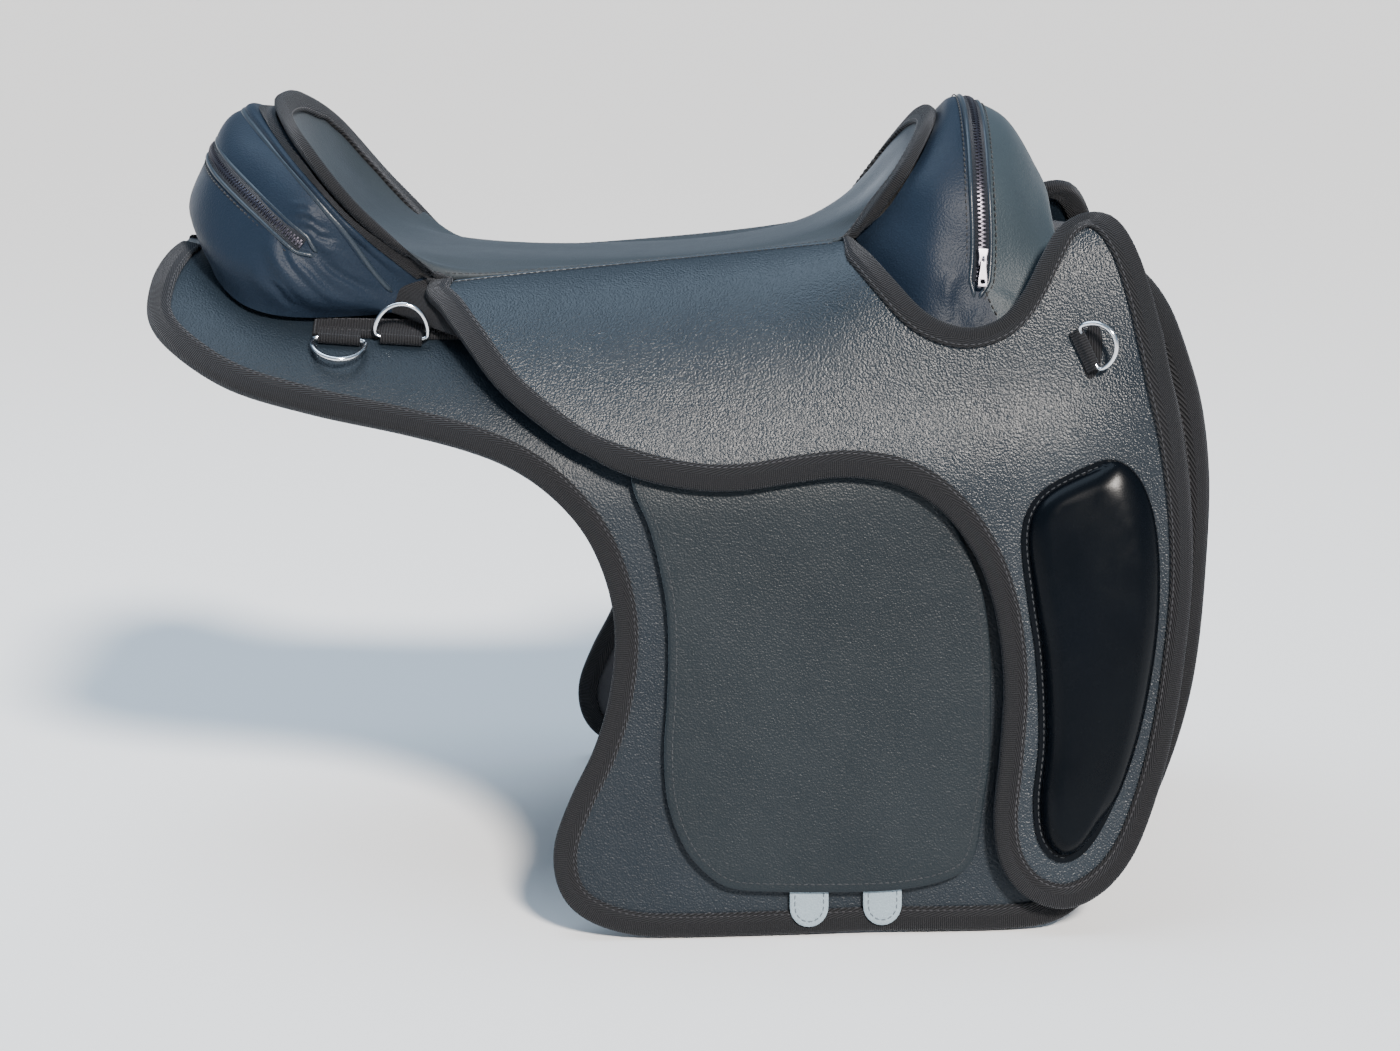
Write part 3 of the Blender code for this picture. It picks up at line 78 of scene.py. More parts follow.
tape = {"reach": 0.0130, "wall": 0.0011, "gap": 0.0012, "stitchIn": 0.0022, "mitre": 0.030}
archGirth = form["archDepth"] * math.pi / 2
girthTurns = 1 + (form["spineHeight"] - form["archDepth"]) / archGirth
girth = girthTurns * archGirth
flapBlend = 0.36
shift = np.array(form["shift"])

seamShares = [
    (-0.300, 0.845, 0.030), (-0.239, 0.783, 0.060), (-0.152, 0.643, 0.100), (-0.075, 0.565, 0.134),
    (0.022, 0.530, 0.183), (0.099, 0.565, 0.230), (0.171, 0.687, 0.290), (0.275, 0.757, 0.400),
    (0.406, 0.757, 0.544),
]
seatShares = [
    [(-0.387, 0.000, 0.992), (-0.380, 0.435, 0.960), (-0.352, 0.826, 0.800),
     (-0.300, 0.922, 0.456), (-0.225,)],
    [(-0.362, 0.000, 0.656), (-0.352, 0.383, 0.624), (-0.322, 0.678, 0.472),
     (-0.268, 0.765, 0.256), (-0.200,)],
    [(-0.322, 0.000, 0.352), (-0.310, 0.330, 0.328), (-0.281, 0.557, 0.256),
     (-0.232, 0.661, 0.152), (-0.171,)],
    [(-0.264, 0.000, 0.208), (-0.255, 0.296, 0.200), (-0.229, 0.487, 0.176),
     (-0.188, 0.574, 0.128), (-0.138,)],
    [(-0.188, 0.000, 0.160), (-0.177, 0.270, 0.160), (-0.154, 0.435, 0.144),
     (-0.122, 0.522, 0.120), (-0.087,)],
    [(-0.087, 0.000, 0.152), (-0.080, 0.252, 0.152), (-0.065, 0.400, 0.148),
     (-0.046, 0.470, 0.136), (-0.029,)],
    [(0.022, 0.000, 0.184), (0.025, 0.243, 0.184), (0.029, 0.374, 0.180), (0.036, 0.452, 0.172), (0.043,)],
    [(0.116, 0.000, 0.280), (0.113, 0.243, 0.272), (0.110, 0.383, 0.256), (0.110, 0.470, 0.236), (0.113,)],
    [(0.181, 0.000, 0.464), (0.171, 0.296, 0.432), (0.157, 0.452, 0.368), (0.146, 0.513, 0.296), (0.142,)],
    [(0.222, 0.000, 0.720), (0.212, 0.400, 0.664), (0.190, 0.600, 0.512), (0.171, 0.609, 0.360), (0.155,)],
    [(0.246, 0.000, 0.920), (0.238, 0.452, 0.864), (0.214, 0.748, 0.664), (0.190, 0.748, 0.472), (0.168,)],
]
cantleShares = [
    [(-0.429, 0.000, 0.912), (-0.404, 0.435, 0.816), (-0.357, 0.852, 0.600),
     (-0.313, 0.957, 0.344), (-0.258, 0.765, 0.024)],
    [(-0.458, 0.000, 0.720), (-0.440, 0.496, 0.648), (-0.391, 0.861, 0.448),
     (-0.341, 0.983, 0.232), (-0.264, 0.809, -0.040)],
    [(-0.482, 0.000, 0.424), (-0.465, 0.539, 0.344), (-0.417, 0.904, 0.184),
     (-0.352, 1.009, 0.056), (-0.268, 0.817, -0.096)],
]
cantleFoot = [(-0.460, 0.000), (-0.449, 0.116), (-0.412, 0.176), (-0.352, 0.184), (-0.268, 0.160)]
pommelShares = [
    [(0.265, 0.000, 0.972), (0.262, 0.435, 0.884), (0.250, 0.783, 0.632), (0.236, 0.970, 0.256),
     (0.222, 0.180)],
    [(0.2855, 0.000, 0.968), (0.2855, 0.457, 0.864), (0.2855, 0.807, 0.573),
     (0.2855, 0.969, 0.166), (0.272, 0.236)],
    [(0.322, 0.000, 0.872), (0.319, 0.426, 0.776), (0.315, 0.757, 0.504), (0.312, 0.930, 0.152),
     (0.312, 0.240)],
    [(0.348, 0.000, 0.656), (0.346, 0.391, 0.568), (0.344, 0.678, 0.352), (0.347, 0.860, 0.150),
     (0.340, 0.238)],
    [(0.362, 0.000, 0.440), (0.362, 0.348, 0.384), (0.364, 0.609, 0.256), (0.367, 0.817, 0.120),
     (0.350, 0.238)],
]
pommelFront = [(0.332, 0.000), (0.340, 0.070), (0.351, 0.135), (0.361, 0.232), (0.350, 0.290)]
baseEdge = [
    (-0.488, 0.030), (-0.495, 0.085), (-0.500, 0.150), (-0.496, 0.205), (-0.471, 0.246),
    (-0.417, 0.286), (-0.342, 0.308), (-0.258, 0.326), (-0.193, 0.347), (-0.147, 0.374),
    (-0.109, 0.415), (-0.080, 0.467), (-0.061, 0.534), (-0.055, 0.602), (-0.061, 0.679),
    (-0.075, 0.745), (-0.097, 0.810), (-0.112, 0.872), (-0.108, 0.926), (-0.087, 0.962),
    (-0.048, 0.984), (0.000, 0.990), (0.100, 0.990), (0.180, 0.988), (0.250, 0.990),
    (0.310, 0.990), (0.356, 0.982), (0.390, 0.952), (0.423, 0.907), (0.451, 0.846),
    (0.474, 0.779), (0.487, 0.714), (0.494, 0.628), (0.496, 0.550), (0.489, 0.473),
    (0.474, 0.397), (0.456, 0.322), (0.432, 0.250), (0.400, 0.180), (0.368, 0.105), (0.345, 0.030),
]
flapEdge = [
    (-0.2335, 0.004), (-0.236, 0.034), (-0.222, 0.080), (-0.205, 0.139), (-0.166, 0.247), (-0.110, 0.333),
    (-0.073, 0.368), (-0.036, 0.389), (0.011, 0.404), (0.057, 0.409), (0.113, 0.404),
    (0.159, 0.404), (0.206, 0.420), (0.243, 0.453), (0.271, 0.501), (0.290, 0.554),
    (0.302, 0.617), (0.307, 0.692), (0.303, 0.778), (0.298, 0.853), (0.305, 0.909),
    (0.328, 0.948), (0.362, 0.963), (0.396, 0.947), (0.424, 0.910), (0.445, 0.853),
    (0.462, 0.782), (0.473, 0.704), (0.479, 0.625), (0.477, 0.552), (0.469, 0.472),
    (0.457, 0.389), (0.444, 0.256), (0.427, 0.148), (0.409, 0.083), (0.387, 0.060),
    (0.362, 0.075), (0.345, 0.119), (0.325, 0.177), (0.302, 0.212), (0.269, 0.216),
    (0.232, 0.183), (0.201, 0.115), (0.173, 0.032), (0.1655, 0.004),
]
fenderEdge = [
    (-0.043, 0.320), (-0.043, 0.395), (-0.026, 0.456), (-0.013, 0.535), (-0.009, 0.600),
    (-0.010, 0.679), (-0.013, 0.745), (-0.010, 0.811), (0.002, 0.864), (0.020, 0.901),
    (0.048, 0.929), (0.095, 0.936), (0.161, 0.939), (0.208, 0.938), (0.245, 0.930),
    (0.269, 0.916), (0.280, 0.890), (0.285, 0.847), (0.291, 0.792), (0.293, 0.740),
    (0.292, 0.640), (0.283, 0.560), (0.262, 0.490), (0.240, 0.430), (0.236, 0.320),
]
kneeEdge = [
    (0.389, 0.442), (0.350, 0.446), (0.327, 0.468), (0.319, 0.509), (0.325, 0.584),
    (0.333, 0.659), (0.336, 0.757), (0.331, 0.831), (0.336, 0.882), (0.355, 0.909),
    (0.382, 0.898), (0.410, 0.844), (0.433, 0.771), (0.447, 0.689), (0.451, 0.616),
    (0.446, 0.547), (0.432, 0.492), (0.412, 0.456),
]
girthFront = [(0.158, 0.0), (0.166, 0.12), (0.178, 0.26), (0.189, 0.36), (0.192, 0.465)]
girthRear = [(-0.100, 0.0), (-0.066, 0.10), (0.006, 0.24), (0.090, 0.38), (0.123, 0.465)]
stirrupLine = [(0.108, 0.0), (0.108, 0.10), (0.108, 0.190), (0.108, 0.238)]


# The form of the saddle, for whole lists of places at once

def unit(v):
    return v / np.maximum(np.linalg.norm(v, axis=-1, keepdims=True), 1e-12)


def ramp(value):
    t = np.clip(value, 0.0, 1.0)
    return t * t * (3 - 2 * t)


def spineAt(a):
    t = a - form["lowPoint"]
    rise = np.where(t < 0, form["rearRise"], form["frontRise"]) * t * t
    rise = rise + form["noseRise"] * np.maximum(a - form["noseStart"], 0.0) ** 2
    return form["spineHeight"] * (1 + rise)


def baseSkin(a, b):
    turns = np.abs(b) * girthTurns
    angle = np.minimum(turns, 1.0) * math.pi / 2
    fall = form["archDepth"] * (1 - np.cos(angle)) + np.maximum(turns - 1.0, 0.0) * archGirth
    share = fall / form["spineHeight"]
    half = form["archHalfRear"] + (form["archHalfFront"] - form["archHalfRear"]) * np.clip(a + 0.5, 0, 1)
    out = half * np.sin(angle) + form["splay"] * share
    side = np.where(b >= 0, -1.0, 1.0)
    return np.stack([a * form["length"], side * out, spineAt(a) * (1 - share)], -1)


def skinNormal(skin, a, b, step=1e-4):
    along = skin(a + step, b) - skin(a - step, b)
    around = skin(a, b + step) - skin(a, b - step)
    return unit(np.cross(around, along))


def placesOn(skin):
    # Points at a height over a skin, for one place or a list of places
    def place(a, b, n=0.0):
        a, b = np.broadcast_arrays(np.asarray(a, float), np.asarray(b, float))
        return skin(a, b) + skinNormal(skin, a, b) * np.asarray(n, float)[..., None]

    return place


basePlace = placesOn(baseSkin)


def seatScaled(share):
    x, y, z = share
    return np.array([x * form["length"], -y * form["seatHalf"], form["spineHeight"] + z * form["seatRise"]])


def weights(ts, count):
    # Weights of a smooth line through count points, one row for each t
    ts = np.atleast_1d(np.asarray(ts, float))
    i = np.clip(np.floor(ts).astype(int), 0, count - 2)
    f = ts - i
    before, after = 0.5 * (-f + 2 * f * f - f ** 3), 0.5 * (-f * f + f ** 3)
    first, last, rows = i == 0, i + 2 >= count, np.arange(len(ts))
    start = 0.5 * (2 - 5 * f * f + 3 * f ** 3) + np.where(first, 2 * before, 0.0) - np.where(last, after, 0.0)
    end = 0.5 * (f + 4 * f * f - 3 * f ** 3) - np.where(first, before, 0.0) + np.where(last, 2 * after, 0.0)
    w = np.zeros((len(ts), count))
    w[rows, i] = start
    w[rows, i + 1] = end
    w[rows[~first], i[~first] - 1] = before[~first]
    w[rows[~last], i[~last] + 2] = after[~last]
    return w


seamPoints = np.array([seatScaled(s) for s in seamShares])
seamLine = weights(np.linspace(0, len(seamPoints) - 1, 801), len(seamPoints)) @ seamPoints


def seamAt(a):
    x = np.asarray(a, float) * form["length"]
    return np.stack([x] + [np.interp(x, seamLine[:, 0], seamLine[:, k]) for k in (1, 2)], -1)


def flapLift(a):
    return layer["flap"] + (layer["flapFront"] - layer["flap"]) * ramp((a - 0.30) / 0.14)


def flapSkin(a, b):
    a, b = np.broadcast_arrays(np.asarray(a, float), np.asarray(b, float))
    low, below = (basePlace(a, b, flapLift(a)) for b in (flapBlend, flapBlend + 0.001))
    top = seamAt(a) - np.array([0.0, 0.0, layer["flapThick"]])
    reach = np.linalg.norm(low - top, axis=-1, keepdims=True)
    start = unit(np.array([0.0, -1.0, -0.30])) * reach
    end = unit(below - low) * reach
    t = np.minimum(b, flapBlend)[..., None] / flapBlend
    upper = ((2 * t ** 3 - 3 * t ** 2 + 1) * top + (3 * t ** 2 - 2 * t ** 3) * low
             + (t ** 3 - 2 * t ** 2 + t) * start + (t ** 3 - t ** 2) * end)
    return np.where((b < flapBlend)[..., None], upper, basePlace(a, np.maximum(b, flapBlend), flapLift(a)))


flapPlace = placesOn(flapSkin)


def flipped(place):
    return lambda a, b, n=0.0: place(a, b, n) * [1.0, -1.0, 1.0]


class Skin:
    # A surface through rows of places, mirrored over the mid line. u counts rows, v counts columns
    def __init__(self, rows, facing=1.0):
        mirror = np.array([1.0, -1.0, 1.0])
        self.points = np.array([[p * mirror for p in row[:0:-1]] + list(row) for row in rows])
        self.reach = len(rows[0]) - 1
        self.count = len(rows) - 1
        self.facing = facing

    def at(self, u, v):
        u, v = np.broadcast_arrays(np.atleast_1d(np.asarray(u, float)), np.atleast_1d(np.asarray(v, float)))
        rows, columns = weights(u, self.count + 1), weights(v + self.reach, 2 * self.reach + 1)
        return np.einsum("ki,kj,ijc->kc", rows, columns, self.points)

    def normal(self, u, v, step=0.01):
        u, v = np.asarray(u, float), np.asarray(v, float)
        along = self.at(np.minimum(u + step, self.count), v) - self.at(np.maximum(u - step, 0), v)
        across = self.at(u, np.minimum(v + step, self.reach)) - self.at(u, np.maximum(v - step, -self.reach))
        return unit(np.cross(across, along)) * self.facing

    def place(self, u, v, n=0.0):
        return self.at(u, v) + self.normal(u, v) * np.asarray(n, float).reshape(-1, 1)


seatSkin = Skin([[seatScaled(s) for s in row[:-1]] + [seamAt(row[-1][0])] for row in seatShares])
behind = layer["cover"] + layer["rimGap"] + tape["wall"] + 2 * layer["foamGap"]
under = tape["gap"] + tape["wall"] + layer["pouch"]
footLift = layer["pouch"] + layer["foot"]


def pouchCorner(share):
    # Two numbers are a place under the flap, three are shares of the seat
    return flapPlace(*share, -under) if len(share) == 2 else seatScaled(share)


cantleRows = [list(seatSkin.place(0.16, range(5), -behind))]
cantleRows += [[seatScaled(s) for s in row] for row in cantleShares]
cantleSkin = Skin(cantleRows + [[basePlace(a, b, footLift) for a, b in cantleFoot]], -1.0)
pommelRows = [list(seatSkin.place(seatSkin.count - 0.16, range(5), -behind))]
pommelRows += [[pouchCorner(s) for s in row] for row in pommelShares]
pommelSkin = Skin(pommelRows + [[basePlace(a, b, footLift) for a, b in pommelFront]])
print("form ready")


# Materials

class Wire:
    # A socket in shader maths
    def __init__(self, shade, socket):
        self.shade = shade
        self.socket = socket

    def maths(self, operation, *others):
        values = dict(enumerate((self,) + others))
        return self.shade.node("ShaderNodeMath", {"operation": operation}, values)

    def __add__(self, other):
        return self.maths("ADD", other)

    def __sub__(self, other):
        return self.maths("SUBTRACT", other)

    def __mul__(self, other):
        return self.maths("MULTIPLY", other)

    def __rsub__(self, other):
        return self.shade.node("ShaderNodeMath", {"operation": "SUBTRACT"}, {0: other, 1: self})

    __radd__ = __add__
    __rmul__ = __mul__


class Shade:
    # One material's nodes
    def __init__(self, name, **plain):
        self.material = bpy.data.materials.new(name)
        self.material.use_nodes = True
        self.tree = self.material.node_tree
        self.shader = self.tree.nodes["Principled BSDF"]
        for key, value in plain.items():
            self.feed(key, value)

    def feed(self, key, value):
        names = {
            "baseColor": "Base Color", "roughness": "Roughness", "metallic": "Metallic", "normal": "Normal",
            "sheen": "Sheen Weight", "sheenRoughness": "Sheen Roughness", "sheenTint": "Sheen Tint",
            "specular": "Specular IOR Level", "coat": "Coat Weight", "coatRoughness": "Coat Roughness",
        }
        self.join(value, self.shader.inputs[names[key]])

    def join(self, value, socket):
        if isinstance(value, Wire):
            self.tree.links.new(value.socket, socket)
        elif isinstance(value, tuple) and len(value) == 3 and socket.type == "RGBA":
            socket.default_value = (*value, 1.0)
        else:
            socket.default_value = value

    def node(self, kind, settings=None, values=None, out=0):
        made = self.tree.nodes.new(kind)
        for key, value in (settings or {}).items():
            if key == "stops":
                while len(made.color_ramp.elements) < len(value):
                    made.color_ramp.elements.new(0.5)
                for stop, (place, colour) in zip(made.color_ramp.elements, value):
                    stop.position = place
                    stop.color = (*colour, 1.0)
            else:
                setattr(made, key, value)
        for key, value in (values or {}).items():
            self.join(value, made.inputs[key])
        return Wire(self, made.outputs[out])

    def coords(self, kind="Object"):
        return self.node("ShaderNodeTexCoord", out=kind)

    def noise(self, vector, scale, detail=4.0, rough=0.5):
        values = {"Vector": vector, "Scale": scale, "Detail": detail, "Roughness": rough}
        return self.node("ShaderNodeTexNoise", None, values)

    def cells(self, vector, scale, feature="F1"):
        settings = {"feature": feature}
        return self.node("ShaderNodeTexVoronoi", settings, {"Vector": vector, "Scale": scale})

    def colours(self, factor, *stops):
        return self.node("ShaderNodeValToRGB", {"stops": stops}, {"Fac": factor})

    def bump(self, height, strength, distance):
        values = {"Height": height, "Strength": strength, "Distance": distance}
        self.feed("normal", self.node("ShaderNodeBump", None, values))


leatherLook = {"grain": 820.0, "crease": 60.0, "bump": 0.80, "depth": 0.00026}


def leatherShade(name, dark, light, rough, coat=0.0, grain=1.0, bump=1.0, gloss=0.22, sheen=0.04):
    shade = Shade(name, sheen=sheen, sheenRoughness=0.4, sheenTint=(0.60, 0.72, 0.90), specular=gloss,
                  coat=coat, coatRoughness=0.22)
    spot = shade.coords()
    pebble = shade.cells(spot, leatherLook["grain"] * grain, "SMOOTH_F1")
    fine = shade.cells(spot, leatherLook["grain"] * grain * 2.3)
    crease = shade.noise(spot, leatherLook["crease"], 5.0, 0.6)
    patch = shade.noise(spot, 7.0, 3.0, 0.55)
    shade.feed("baseColor", shade.colours(patch * 0.8 + pebble * 0.25, (0.30, dark), (0.78, light)))
    shade.feed("roughness", patch * 0.10 + crease * 0.16 + (rough - 0.13))
    high = pebble * -1.3 + fine * -0.3 + crease * 0.6 + patch * 2.0
    shade.bump(high, leatherLook["bump"] * bump, leatherLook["depth"])
    return shade.material


def tapeShade(name, colour, rib=0.0013, split=0.0062, rough=0.74):
    # Ribs run across the inner half of a folded tape, and nearly along it round the fold
    shade = Shade(name, sheen=0.12, sheenRoughness=0.45, sheenTint=(0.6, 0.65, 0.75), specular=0.22)
    parts = shade.tree.nodes.new("ShaderNodeSeparateXYZ")
    shade.join(shade.coords("UV"), parts.inputs[0])
    run, side = Wire(shade, parts.outputs[0]), Wire(shade, parts.outputs[1])
    across = (run * (2 * math.pi / rib)).maths("SINE")
    warp = (side * (2 * math.pi / 0.0010)).maths("SINE")
    fuzz = shade.noise(shade.coords(), 900.0, 3.0)
    high = across * 0.6 + warp * 0.15
    if split:
        slanted = ((side + run * 0.30) * (2 * math.pi / 0.0014)).maths("SINE")
        values = {"Value": side, "From Min": split - 0.0004, "From Max": split + 0.0004}
        inner = shade.node("ShaderNodeMapRange", None, values)
        high = inner * high + (1 - inner) * (slanted * 0.75)
    high = high + fuzz * 0.5
    light = tuple(min(c * 3.2 + 0.010, 1.0) for c in colour)
    shade.feed("baseColor", shade.colours(high * 0.45 + 0.30, (0.20, colour), (0.95, light)))
    shade.feed("roughness", fuzz * 0.2 + (rough - 0.1))
    shade.bump(high, 1.0, 0.00050)
    return shade.material


def feltShade(name, colour):
    shade = Shade(name, roughness=0.95, sheen=0.3, sheenRoughness=0.6, specular=0.15)
    spot = shade.coords()
    hair = shade.noise(spot, 700.0, 6.0, 0.7)
    cloud = shade.noise(spot, 40.0, 3.0)
    light = tuple(c * 1.9 for c in colour)
    shade.feed("baseColor", shade.colours(hair * 0.6 + cloud * 0.4, (0.25, colour), (0.8, light)))
    shade.bump(hair, 0.7, 0.0006)
    return shade.material


def foamShade(name, colour):
    shade = Shade(name, roughness=0.9, specular=0.3)
    spot = shade.coords()
    cell = shade.cells(spot, 800.0)
    shade.feed("baseColor", shade.colours(cell, (0.1, tuple(c * 0.7 for c in colour)), (0.8, colour)))
    shade.bump(cell, 0.6, 0.0004)
    return shade.material


def metalShade(name, colour, rough):
    shade = Shade(name, metallic=1.0, specular=0.5)
    spot = shade.coords()
    wipe = shade.noise(spot, 220.0, 4.0, 0.6)
    shade.feed("baseColor", shade.colours(wipe, (0.2, tuple(c * 0.9 for c in colour)), (0.8, colour)))
    shade.feed("roughness", wipe * 0.14 + (rough - 0.04))
    shade.bump(wipe, 0.08, 0.0001)
    return shade.material


def threadShade(name, colour):
    shade = Shade(name, specular=0.35, sheen=0.2)
    spot = shade.coords()
    twist = shade.noise(spot, 1600.0, 2.0)
    light = tuple(min(c * 1.8, 1.0) for c in colour)
    shade.feed("baseColor", shade.colours(twist, (0.3, colour), (0.8, light)))
    shade.feed("roughness", twist * 0.2 + 0.5)
    shade.bump(twist, 0.4, 0.0002)
    return shade.material


darkLeather = leatherShade("darkLeather", (0.0050, 0.0090, 0.0142), (0.0108, 0.0172, 0.0242), 0.32,
                           bump=1.3, gloss=0.34)
baseHide = leatherShade("baseHide", (0.0042, 0.0078, 0.0124), (0.0092, 0.0146, 0.0208), 0.38,
                        bump=1.1, gloss=0.26)
fenderHide = leatherShade("fenderHide", (0.0042, 0.0076, 0.0106), (0.0088, 0.0136, 0.0174), 0.38,
                          bump=0.9, gloss=0.24)
seatLeather = leatherShade("seatLeather", (0.017, 0.023, 0.028), (0.031, 0.038, 0.044), 0.55,
                           bump=0.7, gloss=0.25, sheen=0.10)
pouchLeather = leatherShade("pouchLeather", (0.0052, 0.0100, 0.0190), (0.0104, 0.0184, 0.0325), 0.47,
                            bump=0.8, gloss=0.15)
frontPouch = leatherShade("frontPouch", (0.020, 0.030, 0.037), (0.034, 0.047, 0.056), 0.48, bump=0.9)
# Welts, piping and the seam lip: a glossy leather of their own, a little lighter than the leather round them,
# partly its own tone and partly a painted highlight so the rolled edges read as light lines
weltHighlightLeather = leatherShade("weltHighlightLeather", (0.009, 0.015, 0.023), (0.018, 0.027, 0.038), 0.34,
                           coat=0.06, bump=0.4, gloss=0.35)
kneeLeather = leatherShade("kneeLeather", (0.0010, 0.0017, 0.0028), (0.0024, 0.0036, 0.0056), 0.25,
                           coat=0.05, grain=1.3, bump=0.10, gloss=0.06, sheen=0.0)
paleLeather = leatherShade("paleLeather", (0.20, 0.26, 0.30), (0.28, 0.34, 0.38), 0.52)
cutLeather = leatherShade("cutLeather", (0.10, 0.135, 0.15), (0.17, 0.21, 0.23), 0.80, grain=2.0)
blackTape = tapeShade("blackTape", (0.0030, 0.0030, 0.0036))
strapTape = tapeShade("strapTape", (0.0040, 0.0040, 0.0048), 0.0018, 0.0)
zipTape = tapeShade("zipTape", (0.0040, 0.0050, 0.0080), 0.0009, 0.0)
greyFelt = feltShade("greyFelt", (0.030, 0.030, 0.034))
greyFoam = foamShade("greyFoam", (0.05, 0.05, 0.05))
chromeMetal = metalShade("chromeMetal", (0.80, 0.82, 0.85), 0.10)
zipMetal = metalShade("zipMetal", (0.12, 0.11, 0.135), 0.32)
sliderMetal = metalShade("sliderMetal", (0.22, 0.21, 0.24), 0.32)
darkThread = threadShade("darkThread", (0.010, 0.012, 0.015))
blackThread = threadShade("blackThread", (0.016, 0.016, 0.019))
inkThread = threadShade("inkThread", (0.0022, 0.0022, 0.0028))
paleThread = threadShade("paleThread", (0.06, 0.075, 0.09))
plasticLook = leatherShade("plasticLook", (0.02, 0.02, 0.022), (0.03, 0.03, 0.033), 0.5, grain=0.5)
print("materials ready")


# Making pieces

def flat(path):
    # Metres over the flattened leather
    return np.asarray(path, float) * [form["length"], girth]


def shares(p):
    return p / [form["length"], girth]


def over(place, path, n=0.0):
    return place(path[:, 0], path[:, 1], n)


def runsOf(line):
    # How far along its line each point lies
    return np.concatenate([[0], np.cumsum(np.linalg.norm(np.diff(line, axis=0), axis=1))])


def meshPiece(name, verts, faces, materials, uvs, slots=None, smooth=50):
    mesh = bpy.data.meshes.new(name)
    made = bmesh.new()
    points = [made.verts.new(tuple(v)) for v in np.asarray(verts) + shift]
    uvLayer = made.loops.layers.uv.new("UVMap") if uvs is not None else None
    for k, face in enumerate(faces):
        new = made.faces.new([points[i] for i in face])
        if slots is not None:
            new.material_index = slots[k]
        if uvLayer is not None:
            for loop, i in zip(new.loops, face):
                loop[uvLayer].uv = (float(uvs[i][0]), float(uvs[i][1]))
    bmesh.ops.recalc_face_normals(made, faces=made.faces[:])
    made.to_mesh(mesh)
    made.free()
    for material in materials if isinstance(materials, list) else [materials]:
        mesh.materials.append(material)
    mesh.shade_smooth()
    mesh.set_sharp_from_angle(angle=math.radians(smooth))
    piece = bpy.data.objects.new(name, mesh)
    bpy.context.scene.collection.objects.link(piece)
    return piece


def swept(name, rings, uvs, material, smooth=50):
    # A closed skin over rings of points, with a cap at both ends
    rings, uvs = np.stack(rings, 1), np.stack(uvs, 1)
    count, size = rings.shape[:2]
    faces = [[i * size + k, i * size + (k + 1) % size, (i + 1) * size + (k + 1) % size, (i + 1) * size + k]
             for i in range(count - 1) for k in range(size)]
    faces += [list(range(size))[::-1], [(count - 1) * size + k for k in range(size)]]
    return meshPiece(name, rings.reshape(-1, 3), faces, material, uvs.reshape(-1, 2), smooth=smooth)


def shell(name, top, bottom, faces, materials, uv, slots=None, wallSlot=0):
    # A closed sheet between two skins, with walls round its edge
    count = len(top)
    used = {(i, j) for f in faces for i, j in zip(f, f[1:] + f[:1])}
    walls = [[j, i, i + count, j + count] for i, j in used if (j, i) not in used]
    slots = (slots or [0] * len(faces)) * 2 + [wallSlot] * len(walls)
    solid = faces + [[i + count for i in f[::-1]] for f in faces] + walls
    return meshPiece(name, np.concatenate([top, bottom]), solid, materials, np.concatenate([uv, uv]), slots)


def gridFaces(rows, across):
    starts = [i * across + j for i in range(rows - 1) for j in range(across - 1)]
    return [[k, k + 1, k + across + 1, k + across] for k in starts]


def settle(piece, body, slotName, *nodes):
    # Put a finished piece on its body and hide the CAD nodes that it stands for
    if body:
        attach(piece, body)
    if nodes:
        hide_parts(*nodes)
    return piece


def pick(*pieces):
    # Select pieces, the first one as the active one
    bpy.ops.object.select_all(action="DESELECT")
    for piece in pieces:
        piece.select_set(True)
    bpy.context.view_layer.objects.active = pieces[0]


def changed(piece, kind, **values):
    # Add a modifier and apply it
    made = piece.modifiers.new(kind.title(), kind)
    for key, value in values.items():
        setattr(made, key, value)
    pick(piece)
    bpy.ops.object.modifier_apply(modifier=made.name)


def smoothLine(points, steps=10, closed=False):
    pts = np.array(points, float)
    if closed:
        pts = np.concatenate([pts[-2:], pts, pts[:3]])
        ts = np.arange(2 * steps, (len(pts) - 3) * steps) / steps
    else:
        ts = np.linspace(0, len(pts) - 1, (len(pts) - 1) * steps + 1)
    return weights(ts, len(pts)) @ pts


def paced(line, place, far=0.005):
    # Points along a line at even distances, as near to far apart as they go
    runs = runsOf(over(place, line))
    wanted = np.linspace(0, runs[-1], max(int(round(runs[-1] / far)), 2) + 1)
    return np.stack([np.interp(wanted, runs, line[:, k]) for k in range(2)], -1)


def turnOf(loop):
    p = flat(loop)
    q = np.roll(p, -1, axis=0)
    return 1.0 if np.sum(p[:, 0] * q[:, 1] - q[:, 0] * p[:, 1]) > 0 else -1.0


def movedIn(path, distance, turn, closed=False):
    p = flat(path)
    if closed:
        run = unit(np.roll(p, -1, axis=0) - np.roll(p, 1, axis=0))
    else:
        run = unit(np.concatenate([p[1:2] - p[:1], p[2:] - p[:-2], p[-1:] - p[-2:-1]]))
    return shares(p + np.stack([-run[:, 1], run[:, 0]], -1) * turn * distance)


def edgeDistance(points, loop):
    p, s = flat(points), flat(loop)
    best = np.full(len(p), 9.0)
    for start, step in zip(s, np.roll(s, -1, axis=0) - s):
        t = np.clip((p - start) @ step / max(step @ step, 1e-12), 0, 1)
        best = np.minimum(best, np.linalg.norm(p - start - t[:, None] * step, axis=1))
    return best


def insideOf(points, loop):
    x, y = flat(points).T
    s = flat(loop)
    hit = np.zeros(len(points), bool)
    for (x1, y1), (x2, y2) in zip(s, np.roll(s, -1, axis=0)):
        if y1 != y2:
            hit ^= ((y1 > y) != (y2 > y)) & (x < (x2 - x1) * (y - y1) / (y2 - y1) + x1)
    return hit


